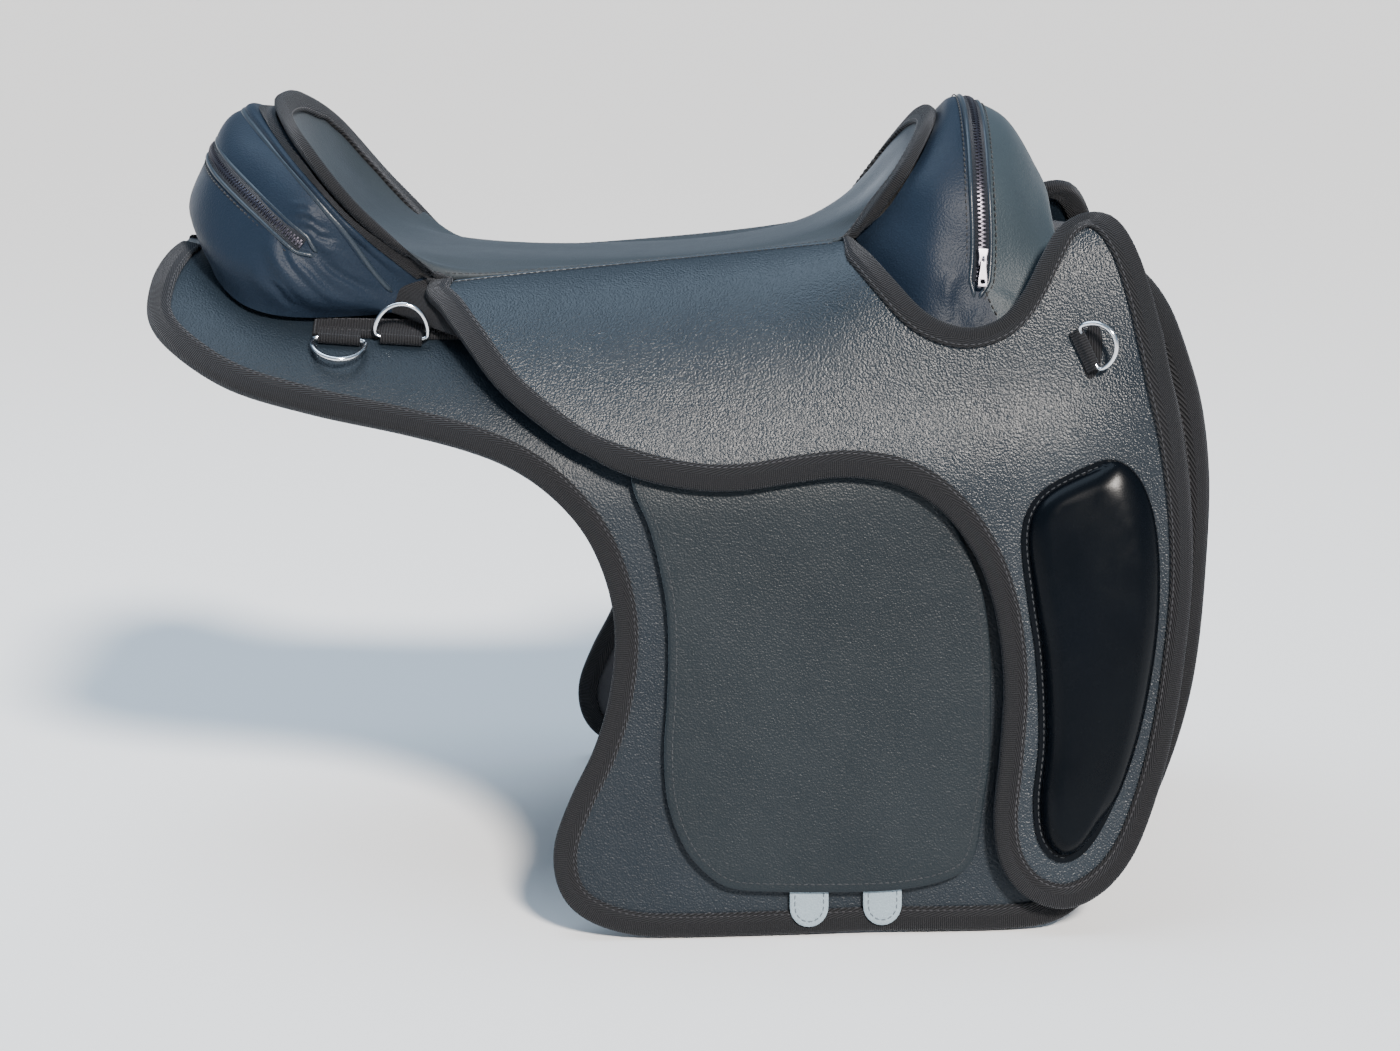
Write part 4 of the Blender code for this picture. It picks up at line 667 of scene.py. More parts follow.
def pattern(loop, rows, cell):
    # Triangles over a flat outline: rows that follow it and an even grid inside
    places = [loop]
    turn = turnOf(loop)
    for distance in rows:
        row = movedIn(loop, distance, turn, True)
        places.append(row[insideOf(row, loop) & (edgeDistance(row, loop) > distance * 0.85)])
    low, high = loop.min(axis=0), loop.max(axis=0)
    counts = (flat(high - low) / cell).astype(int)
    grid = np.meshgrid(*[np.linspace(low[k], high[k], counts[k]) for k in range(2)])
    grid = np.stack(grid, -1).reshape(-1, 2)
    grid = grid[insideOf(grid, loop)]
    places.append(grid[edgeDistance(grid, loop) > max(rows) + cell * 0.55])
    order = list(range(len(loop)))
    if turn < 0:
        order.reverse()
    points = [Vector(p) for p in flat(np.concatenate(places))]
    verts, _, faces, _, _, _ = delaunay_2d_cdt(points, [], [order], 1, 1e-6)
    return shares(np.array([tuple(v) for v in verts])), [list(f) for f in faces]


def eased(heights, faces, free, rounds):
    # Each free height moves to the mean of its neighbours
    pairs = {tuple(sorted((i, j))) for f in faces for i, j in zip(f, f[1:] + f[:1])}
    pairs = np.array(sorted(pairs))
    count = np.maximum(np.bincount(pairs.ravel(), minlength=len(heights)), 1)
    for _ in range(rounds):
        total = np.bincount(pairs[:, 0], heights[pairs[:, 1]], len(heights))
        total += np.bincount(pairs[:, 1], heights[pairs[:, 0]], len(heights))
        heights = np.where(free, total / count, heights)
    return heights


def leatherSheet(name, loop, place, low, high, materials, cell, rows, bevel, rise=None, easeRounds=0):
    # A closed sheet with rounded edges. The walls at its edge take the last material
    places, faces = pattern(loop, rows, cell)
    away = edgeDistance(places, loop)
    ease = bevel * (1 - np.sqrt(np.clip(1 - (1 - np.minimum(away / rows[-1], 1)) ** 2, 0, 1)))
    lift = rise(away, *places.T) if rise else np.zeros(len(places))
    if easeRounds:
        lift = eased(lift, faces, away > kneeLook["eased"], easeRounds)
    last = len(materials) - 1 if isinstance(materials, list) else 0
    top, bottom = over(place, places, high + lift - ease), over(place, places, low + ease * 0.5)
    return shell(name, top, bottom, faces, materials, flat(places), None, last)


def channel(low, high, gap):
    # Section of the folded tape: share towards the inner line, way out, height
    wall, rim = tape["wall"], gap + tape["wall"]
    up, down, middle = high + rim, low - rim, (high + low) / 2
    outer = [
        (1.0, 0.0, high + 0.0002), (0.99, 0.0, up - wall * 0.55), (0.95, 0.0, up - wall * 0.12),
        (0.86, 0.0, up), (0.5, 0.0, up + 0.0001), (0.14, 0.0, up), (0.0, rim * 0.10, up - rim * 0.10),
        (0.0, rim * 0.62, high + rim * 0.62), (0.0, rim * 0.93, high + rim * 0.12), (0.0, rim, middle),
    ]
    lower = [(t, w, 2 * middle - h + (down - (2 * middle - up))) for t, w, h in outer[-2::-1]]
    inner = [(1.0, 0.0, low - 0.0001), (0.0, 0.0001, low - 0.0001)]
    inner += [(0.0, 0.0001, high + 0.0001), (1.0, 0.0, high + 0.0001)]
    return outer + lower + inner


def tapeAlong(name, lines, low, high, gap):
    edge, edgeNormal, inner, innerNormal = lines
    out = edge - inner
    out = unit(out - edgeNormal * np.sum(out * edgeNormal, axis=1, keepdims=True))
    runs = runsOf(edge)
    rings, uvs = [], []
    for t, away, height in channel(low, high, gap):
        ring = edge + out * away + edgeNormal * height
        rings.append(ring * (1 - t) + (inner + innerNormal * height) * t)
        uvs.append(np.stack([runs, np.full_like(runs, tape["reach"] * (1 - t) + away)], -1))
    return swept(name, rings, uvs, blackTape, 70)


def sheetTape(path, loopTurn, place, corner=None):
    # Edge and inner lines of a tape on a sheet's outline. It can narrow to a corner at its end
    innerPath = movedIn(path, tape["reach"], loopTurn)
    if corner:
        away = np.linalg.norm(flat(path) - flat(path[-1]), axis=1)
        innerPath = innerPath + ramp(1 - away / tape["mitre"])[:, None] * (np.array(corner) - innerPath[-1])
    lines = []
    for line in (path, innerPath):
        spots = over(place, line)
        lines += [spots, unit(over(place, line, tape["reach"]) - spots)]
    return lines


def alongTape(lines, top):
    # The line of stitches near a tape's inner edge
    edge, normal, inner, innerNormal = lines
    share = 1 - tape["stitchIn"] / tape["reach"]
    return (edge + normal * top) * (1 - share) + (inner + innerNormal * top) * share


stitchLook = {
    "pitch": 0.0044, "length": 0.0033, "width": 0.00085, "sink": 0.25, "sides": 5,
    "shape": [(-0.5, 0.45), (-0.25, 0.95), (0.25, 0.95), (0.5, 0.45)],
}


def stitches(name, line, normals, material, body="saddle", **changes):
    look = {**stitchLook, **changes}
    runs, width, sides = runsOf(line), look["width"], look["sides"]
    count = max(int(runs[-1] / look["pitch"]), 1)
    verts, faces = [], []
    for k in range(count):
        middle = (k + 0.5) * runs[-1] / count
        places = [middle + s * look["length"] for s in (-0.5, 0.5)]
        ends = [np.array([np.interp(at, runs, line[:, c]) for c in range(3)]) for at in places]
        up = unit(np.array([np.interp(middle, runs, normals[:, c]) for c in range(3)]))
        run = unit(ends[1] - ends[0])
        side = np.cross(up, run)
        base = len(verts)
        for along, fat in look["shape"]:
            spot = (ends[0] + ends[1]) / 2 + run * along * look["length"]
            for turn in range(sides):
                angle = 2 * math.pi * turn / sides
                height = width / 2 * fat * math.sin(angle) - abs(along) * width * 0.9 + width * look["sink"]
                verts.append(spot + side * width / 2 * fat * math.cos(angle) + up * height)
        for ring in range(base, base + 3 * sides, sides):
            for turn in range(sides):
                m = (turn + 1) % sides
                faces.append([ring + turn, ring + m, ring + sides + m, ring + sides + turn])
        faces += [[base + t for t in range(sides)[::-1]], [base + 3 * sides + t for t in range(sides)]]
    return settle(meshPiece(name, verts, faces, material, None, smooth=80), body, "webbing")


def sewOn(name, place, path, top, thread, body="saddle", **changes):
    # Stitches along a path at a height over the leather
    line = over(place, path, top)
    return stitches(name, line, unit(line - over(place, path)), thread, body, **changes)


def bead(name, line, normals, width, height, material):
    # A half round cord of leather along a line, let in a little
    side = unit(np.cross(normals, unit(np.gradient(line, axis=0))))
    runs = runsOf(line)
    taper = np.minimum(1.0, np.minimum(runs, runs[-1] - runs) / 0.004 + 0.25)[:, None]
    rings, uvs = [], []
    for angle in np.linspace(0, math.pi, 9):
        x, z = math.cos(angle) * 0.5, math.sin(angle)
        rings.append(line + side * width * x * taper + normals * (height * z * taper - 0.0004))
        uvs.append(np.stack([runs, np.full(len(runs), x * width)], -1))
    return settle(swept(name, rings, uvs, material, 75), "saddle", "leather")


def finished(name, source, material, levels=0, swell=0.0):
    # A copy of a CAD node's own shape, merged and rounded
    mesh = source.data.copy()
    piece = bpy.data.objects.new(name, mesh)
    bpy.context.scene.collection.objects.link(piece)
    mesh.transform(source.matrix_world)
    made = bmesh.new()
    made.from_mesh(mesh)
    bmesh.ops.remove_doubles(made, verts=made.verts[:], dist=1e-6)
    bmesh.ops.join_triangles(made, faces=made.faces[:], angle_face_threshold=math.radians(40),
                             angle_shape_threshold=math.radians(50))
    for v in made.verts:
        v.co += v.normal * swell
    made.to_mesh(mesh)
    made.free()
    mesh.materials.clear()
    mesh.materials.append(material)
    if levels:
        changed(piece, "SUBSURF", levels=levels, render_levels=levels)
    piece.data.shade_smooth()
    if not levels:
        piece.data.set_sharp_from_angle(angle=math.radians(40))
    return piece


sides = {"off": (basePlace, flapPlace), "near": (flipped(basePlace), flipped(flapPlace))}

# Base of each side: leather, felt lining and taped edge
baseCut = {"rows": (0.0015, 0.006), "bevel": 0.0004}
basePath = paced(smoothLine(baseEdge), basePlace)
spineSide = [(a, 0.030) for a in np.linspace(0.340, -0.483, 120)]
stitchIn = tape["reach"] - tape["stitchIn"]
tapeTop = tape["gap"] + tape["wall"]
for side, (onBase, onFlap) in sides.items():
    loop = np.concatenate([basePath, spineSide])
    turn = turnOf(loop)
    made = leatherSheet("baseLeather_" + side, loop, onBase, -0.0020, 0.0, baseHide, 0.009, **baseCut)
    settle(made, "saddle", "leather", "base_" + side)
    made = leatherSheet("baseLining_" + side, loop, onBase, layer["baseLow"], layer["felt"], greyFelt,
                        0.012, **baseCut)
    settle(made, "saddle", "felt", "lining_" + side)
    lines = sheetTape(basePath, turn, onBase)
    made = tapeAlong("baseTape_" + side, lines, layer["baseLow"], 0.0, tape["gap"])
    settle(made, "saddle", "webbing", "base_binding_" + side)
    seam = movedIn(basePath, stitchIn, turn)
    sewOn("baseStitches_" + side, onBase, seam, tapeTop, blackThread, sink=0.0)
print("base made")

# Flaps: one leather from the seat seam down, with its taped edge
flapPath = paced(smoothLine(flapEdge), flapPlace)
tapePath = np.concatenate([[(-0.2385, -0.022), (-0.2365, -0.010)], flapPath, [(0.1645, -0.003)]])
corners = {"cantle": (-0.2150, 0.0), "pommel": (0.1590, 0.0)}
kneePath = paced(smoothLine(kneeEdge, 10, True), flapPlace)
kneeLook = {
    "height": 0.0232, "roll": 0.0400, "flange": 0.0013, "floor": layer["flapThick"] + 0.0006,
    "border": 0.0044, "topShare": 0.58, "topRun": 0.25, "foamIn": 0.0070, "foamLow": 0.0050,
    "cell": 0.0035, "rounds": 45, "eased": 0.0145,
    "rows": (0.0004, 0.0010, 0.0014, 0.0022, 0.0032, 0.0044, 0.0048, 0.0056, 0.0068, 0.0085, 0.0108, 0.0135),
}
blendLook = {"start": (-0.006, 0.010), "end": (0.022, -0.030)}


def seamDip(away, a, b):
    return -0.0009 * np.clip(1 - b * girth / 0.0022, 0, 1) ** 2


def kneeRise(away, a, b):
    # A flat stitched border behind and above, none in front, and a round dome that is lower at its top
    border = kneeLook["border"] * (1 - ramp((a - 0.385) / 0.030))
    share = np.clip((away - border) / (kneeLook["roll"] - border), 0.0, 1.0)
    full = kneeLook["topShare"] + (1 - kneeLook["topShare"]) * ramp((b - 0.45) / kneeLook["topRun"])
    return kneeLook["flange"] + kneeLook["height"] * full * np.sqrt(np.clip(1 - (1 - share) ** 2, 0, 1))


def foamRise(away, a, b):
    return np.maximum(kneeRise(away + kneeLook["foamIn"], a, b) - kneeLook["foamLow"], 0.0005)


hinge = (flapPlace(-0.236, 0.034, layer["flapThick"]) + flapPlace(0.172, 0.030, layer["flapThick"])) / 2
kneeTurn = turnOf(kneePath)
for side, (onBase, onFlap) in sides.items():
    body = "flap_" + side + "_body"
    sign = -1.0 if side == "off" else 1.0
    loop = np.concatenate([flapPath, [(a, 0.0) for a in np.linspace(0.163, -0.231, 80)]])
    leather = leatherSheet("flapLeather_" + side, loop, onFlap, 0.0, layer["flapThick"], darkLeather, 0.007,
                           (0.0008, 0.0024), 0.0005, seamDip)
    settle(leather, None, "leather", "flap_" + side, "flap_root_" + side)
    lines = sheetTape(tapePath, turnOf(loop), onFlap, corners["pommel"])
    trim = tapeAlong("flapTape_" + side, lines, 0.0, layer["flapThick"], tape["gap"])
    settle(trim, None, "webbing", "flap_binding_" + side)
    line = alongTape(lines, layer["flapThick"] + tapeTop)
    sewn = stitches("flapStitches_" + side, line, lines[3], blackThread, None)
    middle = hinge * [1, -sign, 1] + shift
    start, end = (tuple(middle + [0, sign * y, z]) for y, z in blendLook.values())
    for piece in (leather, trim, sewn):
        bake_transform(piece)
        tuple(start)
        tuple(end)
    floor = kneeLook["floor"]
    knee = leatherSheet("kneeBlock_" + side, kneePath, onFlap, floor - 0.0005, floor, kneeLeather,
                        kneeLook["cell"], kneeLook["rows"], 0.0, kneeRise, kneeLook["rounds"])
    settle(knee, body, "leather", "knee_block_" + side)
    seam = np.roll(movedIn(kneePath, 0.0030, kneeTurn, True), len(kneePath) // 10, axis=0)
    seam = seam[(seam[:, 1] < 0.50) | (seam[:, 0] < 0.362)]
    sewOn("kneeStitches_" + side, onFlap, seam, floor + kneeLook["flange"], darkThread, body)
    loop = movedIn(kneePath, kneeLook["foamIn"], kneeTurn, True)
    core = leatherSheet("kneeFoam_" + side, loop, onFlap, floor + 0.0002, floor + 0.0004, greyFoam, 0.0060,
                        (0.0010, 0.0040), 0.0, foamRise, kneeLook["rounds"])
    settle(core, body, "foam", "knee_foam_" + side)
print("flaps made")

# Fenders, with pale cut edges and a stitched border
fenderPath = paced(smoothLine(fenderEdge), basePlace)
billetLook = {
    "half": 0.0125, "top": 0.450, "bottom": 0.958, "stitchIn": 0.0032,
    "places": {"front": 0.192, "rear": 0.123},
}
for side, (onBase, onFlap) in sides.items():
    body = "fender_" + side + "_body"
    loop = np.concatenate([fenderPath, [(a, 0.320) for a in np.linspace(0.230, -0.037, 40)]])
    high = layer["fender"] + layer["fenderThick"]
    made = leatherSheet("fenderLeather_" + side, loop, onBase, layer["fender"], high,
                        [fenderHide, cutLeather], 0.008, (0.0006, 0.0020), 0.0005)
    settle(made, body, "leather", "fender_" + side)
    seam = movedIn(fenderPath, 0.0050, turnOf(loop))
    sewOn("fenderStitches_" + side, onBase, seam, high, darkThread, body)

    # Billets under the fender
    for end, a in billetLook["places"].items():
        half, cap = billetLook["half"] / form["length"], billetLook["half"] / girth
        turns, top, bottom = np.linspace(0, math.pi, 13), billetLook["top"], billetLook["bottom"]
        upper = np.stack([a + half * np.cos(turns), top - cap * np.sin(turns)], -1)
        lower = np.stack([a - half * np.cos(turns), bottom + cap * np.sin(turns)], -1)
        down = np.stack([np.full(60, a - half), np.linspace(top + 0.002, bottom - 0.002, 60)], -1)
        loop = np.concatenate([upper, down, lower, down[::-1] + [2 * half, 0.0]])
        name = "billet_" + end + "_" + side
        high = layer["billet"] + layer["billetThick"]
        strap = leatherSheet("billetStrap_" + end + "_" + side, loop, onBase, layer["billet"], high,
                             paleLeather, 0.006, (0.0005, 0.0016), 0.0005)
        settle(strap, name + "_body", "pale_leather", name)
        seam = movedIn(loop, billetLook["stitchIn"], turnOf(loop), True)
        sewOn("billetStitches_" + end + "_" + side, onBase, seam, high, paleThread, name + "_body")
print("fenders and billets made")


# Seat cover, pouches and their taped rims

def skinGrid(name, skin, us, vs, low, high, materials, shapeTop=None, split=None):
    u, v = (x.ravel() for x in np.meshgrid(us, vs, indexing="ij"))
    spots, normals = skin.at(u, v), skin.normal(u, v)
    lift = high + (shapeTop(u, v, spots) if shapeTop else np.zeros(len(u)))
    top, bottom = (spots + normals * far[:, None] for far in (lift, np.minimum(lift - high, 0.0) + low))
    rows, across = len(us), len(vs)
    web = spots.reshape(rows, across, 3)
    runs, downs = (np.cumsum(np.linalg.norm(np.diff(web, axis=k, prepend=first), axis=2), axis=k)
                   for k, first in ((1, web[:, :1]), (0, web[:1])))
    middle = across // 2
    uv = np.stack([(runs - runs[:, middle:middle + 1]).ravel(), downs.ravel()], -1)
    slots = [int(bool(split and split(row, abs(turn)))) for row in us[:-1] for turn in vs[:-1]]
    return shell(name, top, bottom, gridFaces(rows, across), materials, uv, slots)


def seatShape(u, v, spots):
    return -0.0009 * np.clip(1 - (4 - np.abs(v)) * 0.020 / 0.0022, 0, 1) ** 2


fineEdge = np.array([0, 0.03, 0.07, 0.12])
seatVs = np.concatenate([-4 + fineEdge, np.linspace(-3.8, 3.8, 65), 4 - fineEdge[::-1]])
cover = skinGrid("seatCover", seatSkin, np.linspace(0, 10, 91), seatVs, -layer["cover"], 0.0, seatLeather,
                 seatShape)
settle(cover, "saddle", "leather", "seat_cover")
seamLook = {"turn": 3.86, "stitchDown": 0.0065, "lipDown": 0.0030, "lipWide": 0.0024, "lipHigh": 0.0009}
for side, sign in (("off", 1.0), ("near", -1.0)):
    us, v = np.linspace(0.5, 9.9, 300), sign * seamLook["turn"]
    stitches("seatStitches_" + side, seatSkin.at(us, v), seatSkin.normal(us, v), darkThread)
    onFlap = sides[side][1]
    path = np.stack([np.linspace(-0.215, 0.150, 300), np.full(300, seamLook["stitchDown"])], -1)
    sewOn("seamStitches_" + side, onFlap, path, layer["flapThick"], inkThread)
    path[:, 1] = seamLook["lipDown"]
    line = over(onFlap, path, layer["flapThick"])
    # The lip is of the lighter welt leather, which paints a highlight along it
    bead("seamLip_" + side, line, unit(line - over(onFlap, path)), seamLook["lipWide"], seamLook["lipHigh"],
         weltHighlightLeather)


def rimLines(u, sign):
    # Edge and inner lines of the tape on one end of the seat
    vs = np.linspace(-4.0, 4.0, 161)
    edge, normal = seatSkin.at(u, vs), seatSkin.normal(u, vs)
    run = unit(np.gradient(edge, axis=0))
    # Step in over the surface, square to the rim
    tryUs, tryVs = [], []
    for k, v in enumerate(vs):
        best, least = (u, v), 9.0
        for other in np.linspace(max(v - 1.0, -4.0), min(v + 1.0, 4.0), 41):
            us = u + sign * np.linspace(0, 1.4, 29)
            spots = seatSkin.at(us, other)
            far = np.linalg.norm(spots - edge[k], axis=1)
            i = int(np.argmin(np.abs(far - tape["reach"])))
            slant = abs(float(np.dot(unit(spots[i] - edge[k]), run[k]))) + abs(far[i] - tape["reach"]) * 300
            if slant < least:
                best, least = (us[i], other), slant
        tryUs.append(best[0])
        tryVs.append(best[1])
    inner = seatSkin.at(tryUs, tryVs)
    for _ in range(6):
        inner[1:-1] = (inner[:-2] + inner[1:-1] * 2 + inner[2:]) / 4
    for facing, onFlap, end in ((1.0, sides["off"][1], -1), (-1.0, sides["near"][1], 0)):
        corner = onFlap(*corners["cantle" if sign > 0 else "pommel"], layer["flapThick"])
        inner = inner + ramp((vs * facing - 3.2) / 0.8)[:, None] * (corner - inner[end])
    return edge, normal, inner, seatSkin.normal(tryUs, tryVs)


for name, u, sign in (("cantle", 0.0, 1.0), ("pommel", 10.0, -1.0)):
    lines = rimLines(u, sign)
    trim = tapeAlong(name + "Tape", lines, -layer["cover"], 0.0, layer["rimGap"])
    settle(trim, "saddle", "webbing", name + "_binding")
    stitches(name + "Stitches", alongTape(lines, layer["rimGap"] + tape["wall"]), lines[3], blackThread)

# Folds of a pouch: row and column at both ends, width and height
cantleFolds = [
    (2.20, 2.30, 3.65, 3.28, 0.0052, 0.0027), (2.25, 2.60, 3.45, 3.45, 0.0046, 0.0023),
    (2.12, 2.46, 3.30, 3.32, 0.0026, -0.0017), (2.40, 2.78, 3.10, 3.52, 0.0030, 0.0014),
    (2.05, 2.95, 2.70, 3.72, 0.0040, 0.0014), (1.95, 2.98, 2.35, 3.70, 0.0026, -0.0010),
    (2.75, 2.20, 3.80, 2.75, 0.0060, 0.0012), (2.95, 2.60, 3.50, 2.92, 0.0024, 0.0009),
    (3.05, 2.52, 3.62, 2.84, 0.0022, -0.0008), (1.55, 2.35, 1.28, 2.70, 0.0022, 0.0011),
    (1.62, 2.44, 1.32, 2.80, 0.0020, -0.0009), (1.66, 2.52, 1.36, 2.92, 0.0022, 0.0013),
    (1.72, 2.60, 1.42, 3.00, 0.0020, -0.0011), (1.78, 2.68, 1.44, 3.10, 0.0024, 0.0014),
    (1.85, 2.78, 1.55, 3.20, 0.0026, 0.0011), (1.48, 2.20, 1.20, 2.50, 0.0022, 0.0009),
    (1.75, 2.92, 1.92, 3.68, 0.0034, 0.0013), (1.60, 3.05, 1.72, 3.75, 0.0030, 0.0011),
    (0.66, 2.90, 0.80, 3.30, 0.0030, 0.0010), (0.72, 3.20, 0.86, 3.55, 0.0026, -0.0008),
]
pommelFolds = [
    (1.60, 3.10, 1.35, 3.60, 0.0045, 0.0010), (2.05, 3.42, 2.10, 3.88, 0.0050, 0.0010),
    (2.45, 3.25, 3.10, 3.55, 0.0055, 0.0009), (1.72, 3.35, 1.62, 3.85, 0.0040, -0.0009),
]
# Broad rolls of the cantle pouch: first and last row, column where they end, height
cantleRolls = ((0.52, 0.97, 3.9, 0.0026), (0.97, 2.0, 3.0, 0.0030))


def foldShape(skin, folds, rolls=()):
    lines = []
    for u1, v1, u2, v2, wide, high in folds:
        t = np.linspace(0, 1, 25)
        sway = 0.05 * np.sin(t * 7.0 + u1 * 9.0)
        for sign in (1, -1):
            lines.append((skin.at(u1 + (u2 - u1) * t + sway, sign * (v1 + (v2 - v1) * t)), wide, high))

    def shape(u, v, spots):
        lift = np.zeros(len(spots))
        for line, wide, high in lines:
            near = np.flatnonzero(np.linalg.norm(spots - line[12], axis=1) < 0.075)
            away = np.linalg.norm(spots[near, None] - line[None], axis=2)
            t = np.argmin(away, axis=1) / 24
            fade = np.clip(np.sin(math.pi * t) + 0.15, 0, 1)
            lift[near] += high * np.exp(-(away.min(axis=1) / wide) ** 2) * fade
        for u1, u2, end, high in rolls:
            roll = np.sin(math.pi * np.clip((u - u1) / (u2 - u1), 0, 1))
            lift += high * roll * ramp((end - np.abs(v)) / 0.6)
        x, y, z = spots.T
        return lift + np.sin(x * 95 + z * 60) * np.sin(y * 70 + z * 45 + 1.0) * 0.00045

    return shape


def frontPart(u, v):
    # The pommel pouch ahead of its seam, which is of another leather
    return u >= np.interp(v, [3.20, 3.24, 3.64], [2.0, 2.10, 2.65])


fineSide = np.linspace(2.10, 3.98, 95)
cantleVs = np.concatenate([-fineSide[::-1], np.linspace(-2.0, 2.0, 61), fineSide])
cantle = skinGrid("cantlePouch", cantleSkin, np.linspace(0, 4, 141), cantleVs, -layer["pouch"], 0.0,
                  pouchLeather, foldShape(cantleSkin, cantleFolds, cantleRolls))
settle(cantle, "saddle", "leather", "cantle_pouch")
pommel = skinGrid("pommelPouch", pommelSkin, np.linspace(0, 6, 121), np.linspace(-4, 4, 201),
                  -layer["pouch"], 0.0, [pouchLeather, frontPouch], foldShape(pommelSkin, pommelFolds),
                  frontPart)
settle(pommel, "saddle", "leather", "pommel_pouch")
edgeTape = skinGrid("cantleEdgeTape", cantleSkin, np.linspace(0.0, 0.52, 7), np.linspace(-3.90, 3.90, 161),
                    0.0002, 0.0013, blackTape)
settle(edgeTape, "saddle", "webbing")
gussetLook = {"rows": 25, "across": 9, "column": 3.94, "thick": 0.0016, "size": (0.080, 0.030)}
for side, (onBase, onFlap) in sides.items():
    # A gusset closes the corner between the cantle pouch and the flap
    mirror = 1.0 if side == "off" else -1.0
    shape = [np.linspace(0, 1, gussetLook[key]) for key in ("rows", "across")]
    t, across = (x.ravel() for x in np.meshgrid(*shape, indexing="ij"))
    pouchSide = cantleSkin.at(4 * t, gussetLook["column"]) * [1, mirror, 1]
    flapSide = onFlap(-0.222 + 0.036 * t, 0.012 + 0.150 * t, -gussetLook["thick"])
    spots = pouchSide * (1 - across[:, None]) + flapSide * across[:, None]
    inward = unit(np.array([0.35, mirror, -0.35])) * gussetLook["thick"]
    faces = gridFaces(gussetLook["rows"], gussetLook["across"])
    uv = np.stack([t, across], -1) * gussetLook["size"]
    settle(shell("cantleGusset_" + side, spots, spots + inward, faces, strapTape, uv), "saddle", "webbing")

# The piped seam over the cantle pouch, and the short seam from the pommel's zip to the flap
seamTurns = np.linspace(-3.88, 3.88, 261)
seamRows = 0.97 + 0.76 * np.clip((np.abs(seamTurns) - 2.85) / 1.05, 0, 1) ** 1.6
pipeNormal = cantleSkin.normal(seamRows, seamTurns)
# The piping is of the lighter welt leather, which paints a highlight along it
bead("cantlePiping", cantleSkin.at(seamRows, seamTurns), pipeNormal, 0.0040, 0.0018, weltHighlightLeather)
foldRows = seamRows + 0.075
bead("cantleSeamFold", cantleSkin.at(foldRows, seamTurns), cantleSkin.normal(foldRows, seamTurns), 0.0030,
     0.0010, pouchLeather)
stitches("cantleSeamStitches", cantleSkin.place(seamRows + 0.040, seamTurns, 0.0004), pipeNormal, inkThread)
for side, sign in (("off", 1.0), ("near", -1.0)):
    t = np.linspace(0, 1, 40)
    rows, turns = 2.10 + 0.55 * t, sign * (3.22 + 0.42 * t)
    normal = pommelSkin.normal(rows, turns)
    for word, apart in (("1", -0.035), ("2", 0.035)):
        line = pommelSkin.at(rows + apart, turns)
        bead("pommelSeam" + word + "_" + side, line, normal, 0.0030, 0.0008, frontPouch)
    line = pommelSkin.place(rows, turns, 0.0005)
    stitches("pommelSeamStitches_" + side, line, normal, inkThread, width=0.0014)
print("seat and pouches made")

# Inner and simple pieces that keep their CAD shape
for name in ("seat_foam", "cantle_foam", "pommel_foam", "gullet_strip"):
    foam = name.endswith("foam")
    first, second = name.split("_")
    made = finished(first + second.title(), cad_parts[name], greyFoam if foam else darkLeather,
                    swell=-0.0012 if foam else 0.0)
    settle(made, "saddle", "foam" if foam else "leather", name)
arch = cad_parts["pommel_arch"]
arch.data.materials.clear()
arch.data.materials.append(plasticLook)

# Straps over the base. Their section: share of the width, share of the thickness
strapSection = [
    (-0.5, 0.15), (-0.46, 0.9), (-0.4, 1.0), (0.0, 1.0), (0.4, 1.0), (0.46, 0.9), (0.5, 0.15),
    (0.46, 0.0), (0.0, 0.0), (-0.46, 0.0),
]


def strapOver(name, centre, width, node):
    half = smoothLine(centre, 14)
    p = flat(np.concatenate([half[:0:-1] * [1, -1], half]))
    run = unit(np.gradient(p, axis=0))
    side = np.stack([-run[:, 1], run[:, 0]], -1)
    runs = runsOf(p)
    rings, uvs = [], []
    for share, high in strapSection:
        height = layer["strap"] + layer["strapThick"] * high
        rings.append(over(basePlace, shares(p + side * width * share), height))
        uvs.append(np.stack([runs, np.full(len(runs), share * width)], -1))
    settle(swept(name, rings, uvs, strapTape), "saddle", "webbing", node)


strapOver("girthWebFront", girthFront, 0.025, "girth_webbing_front")
strapOver("girthWebRear", girthRear, 0.025, "girth_webbing_rear")
strapOver("stirrupWeb", stirrupLine, 0.038, "stirrup_webbing")
print("straps made")

# Rings, the folded webbing that holds them, the strip behind the rear pair, and painted shade at the front
# tab's slit
rearHang = {"bow": (0.0, 1e-4), "onFlap": False, "wire": 0.0036, "wide": 0.0272, "reach": 0.0130}
ringHang = {
    "rear_ring_outer": {**rearHang, "spot": (-0.3205, 0.212)},
    "rear_ring_inner": {**rearHang, "spot": (-0.2625, 0.205)},
    "front_ring": {
        "spot": (0.384, 0.290), "bow": (1e-4, 0.0), "onFlap": True, "wire": 0.0036, "wide": 0.0282,
        "reach": 0.0058,
    },
    "stirrup_ring": {**rearHang, "spot": (0.108, 0.262), "wire": 0.0048, "wide": 0.0322, "reach": 0.0100},
}
keeperLook = {"wall": 0.0012, "play": 0.0003, "clear": 0.0002}
stripLook = {
    "low": 0.0001, "high": 0.0032, "ends": (-0.346, -0.186), "rear": (0.176, 0.205), "front": (0.157, 0.192),
    "sewn": (-0.342, -0.190), "seams": {"Upper": (0.1795, 0.1605), "Lower": (0.1975, 0.1830)},
}
# Painted shade: a dark oval of black webbing laid on the flap round the front tab stands in for the shaded
# slit
slitShadeLook = {"spot": (0.3895, 0.296), "half": (0.0068, 0.0225), "proud": 0.0004}


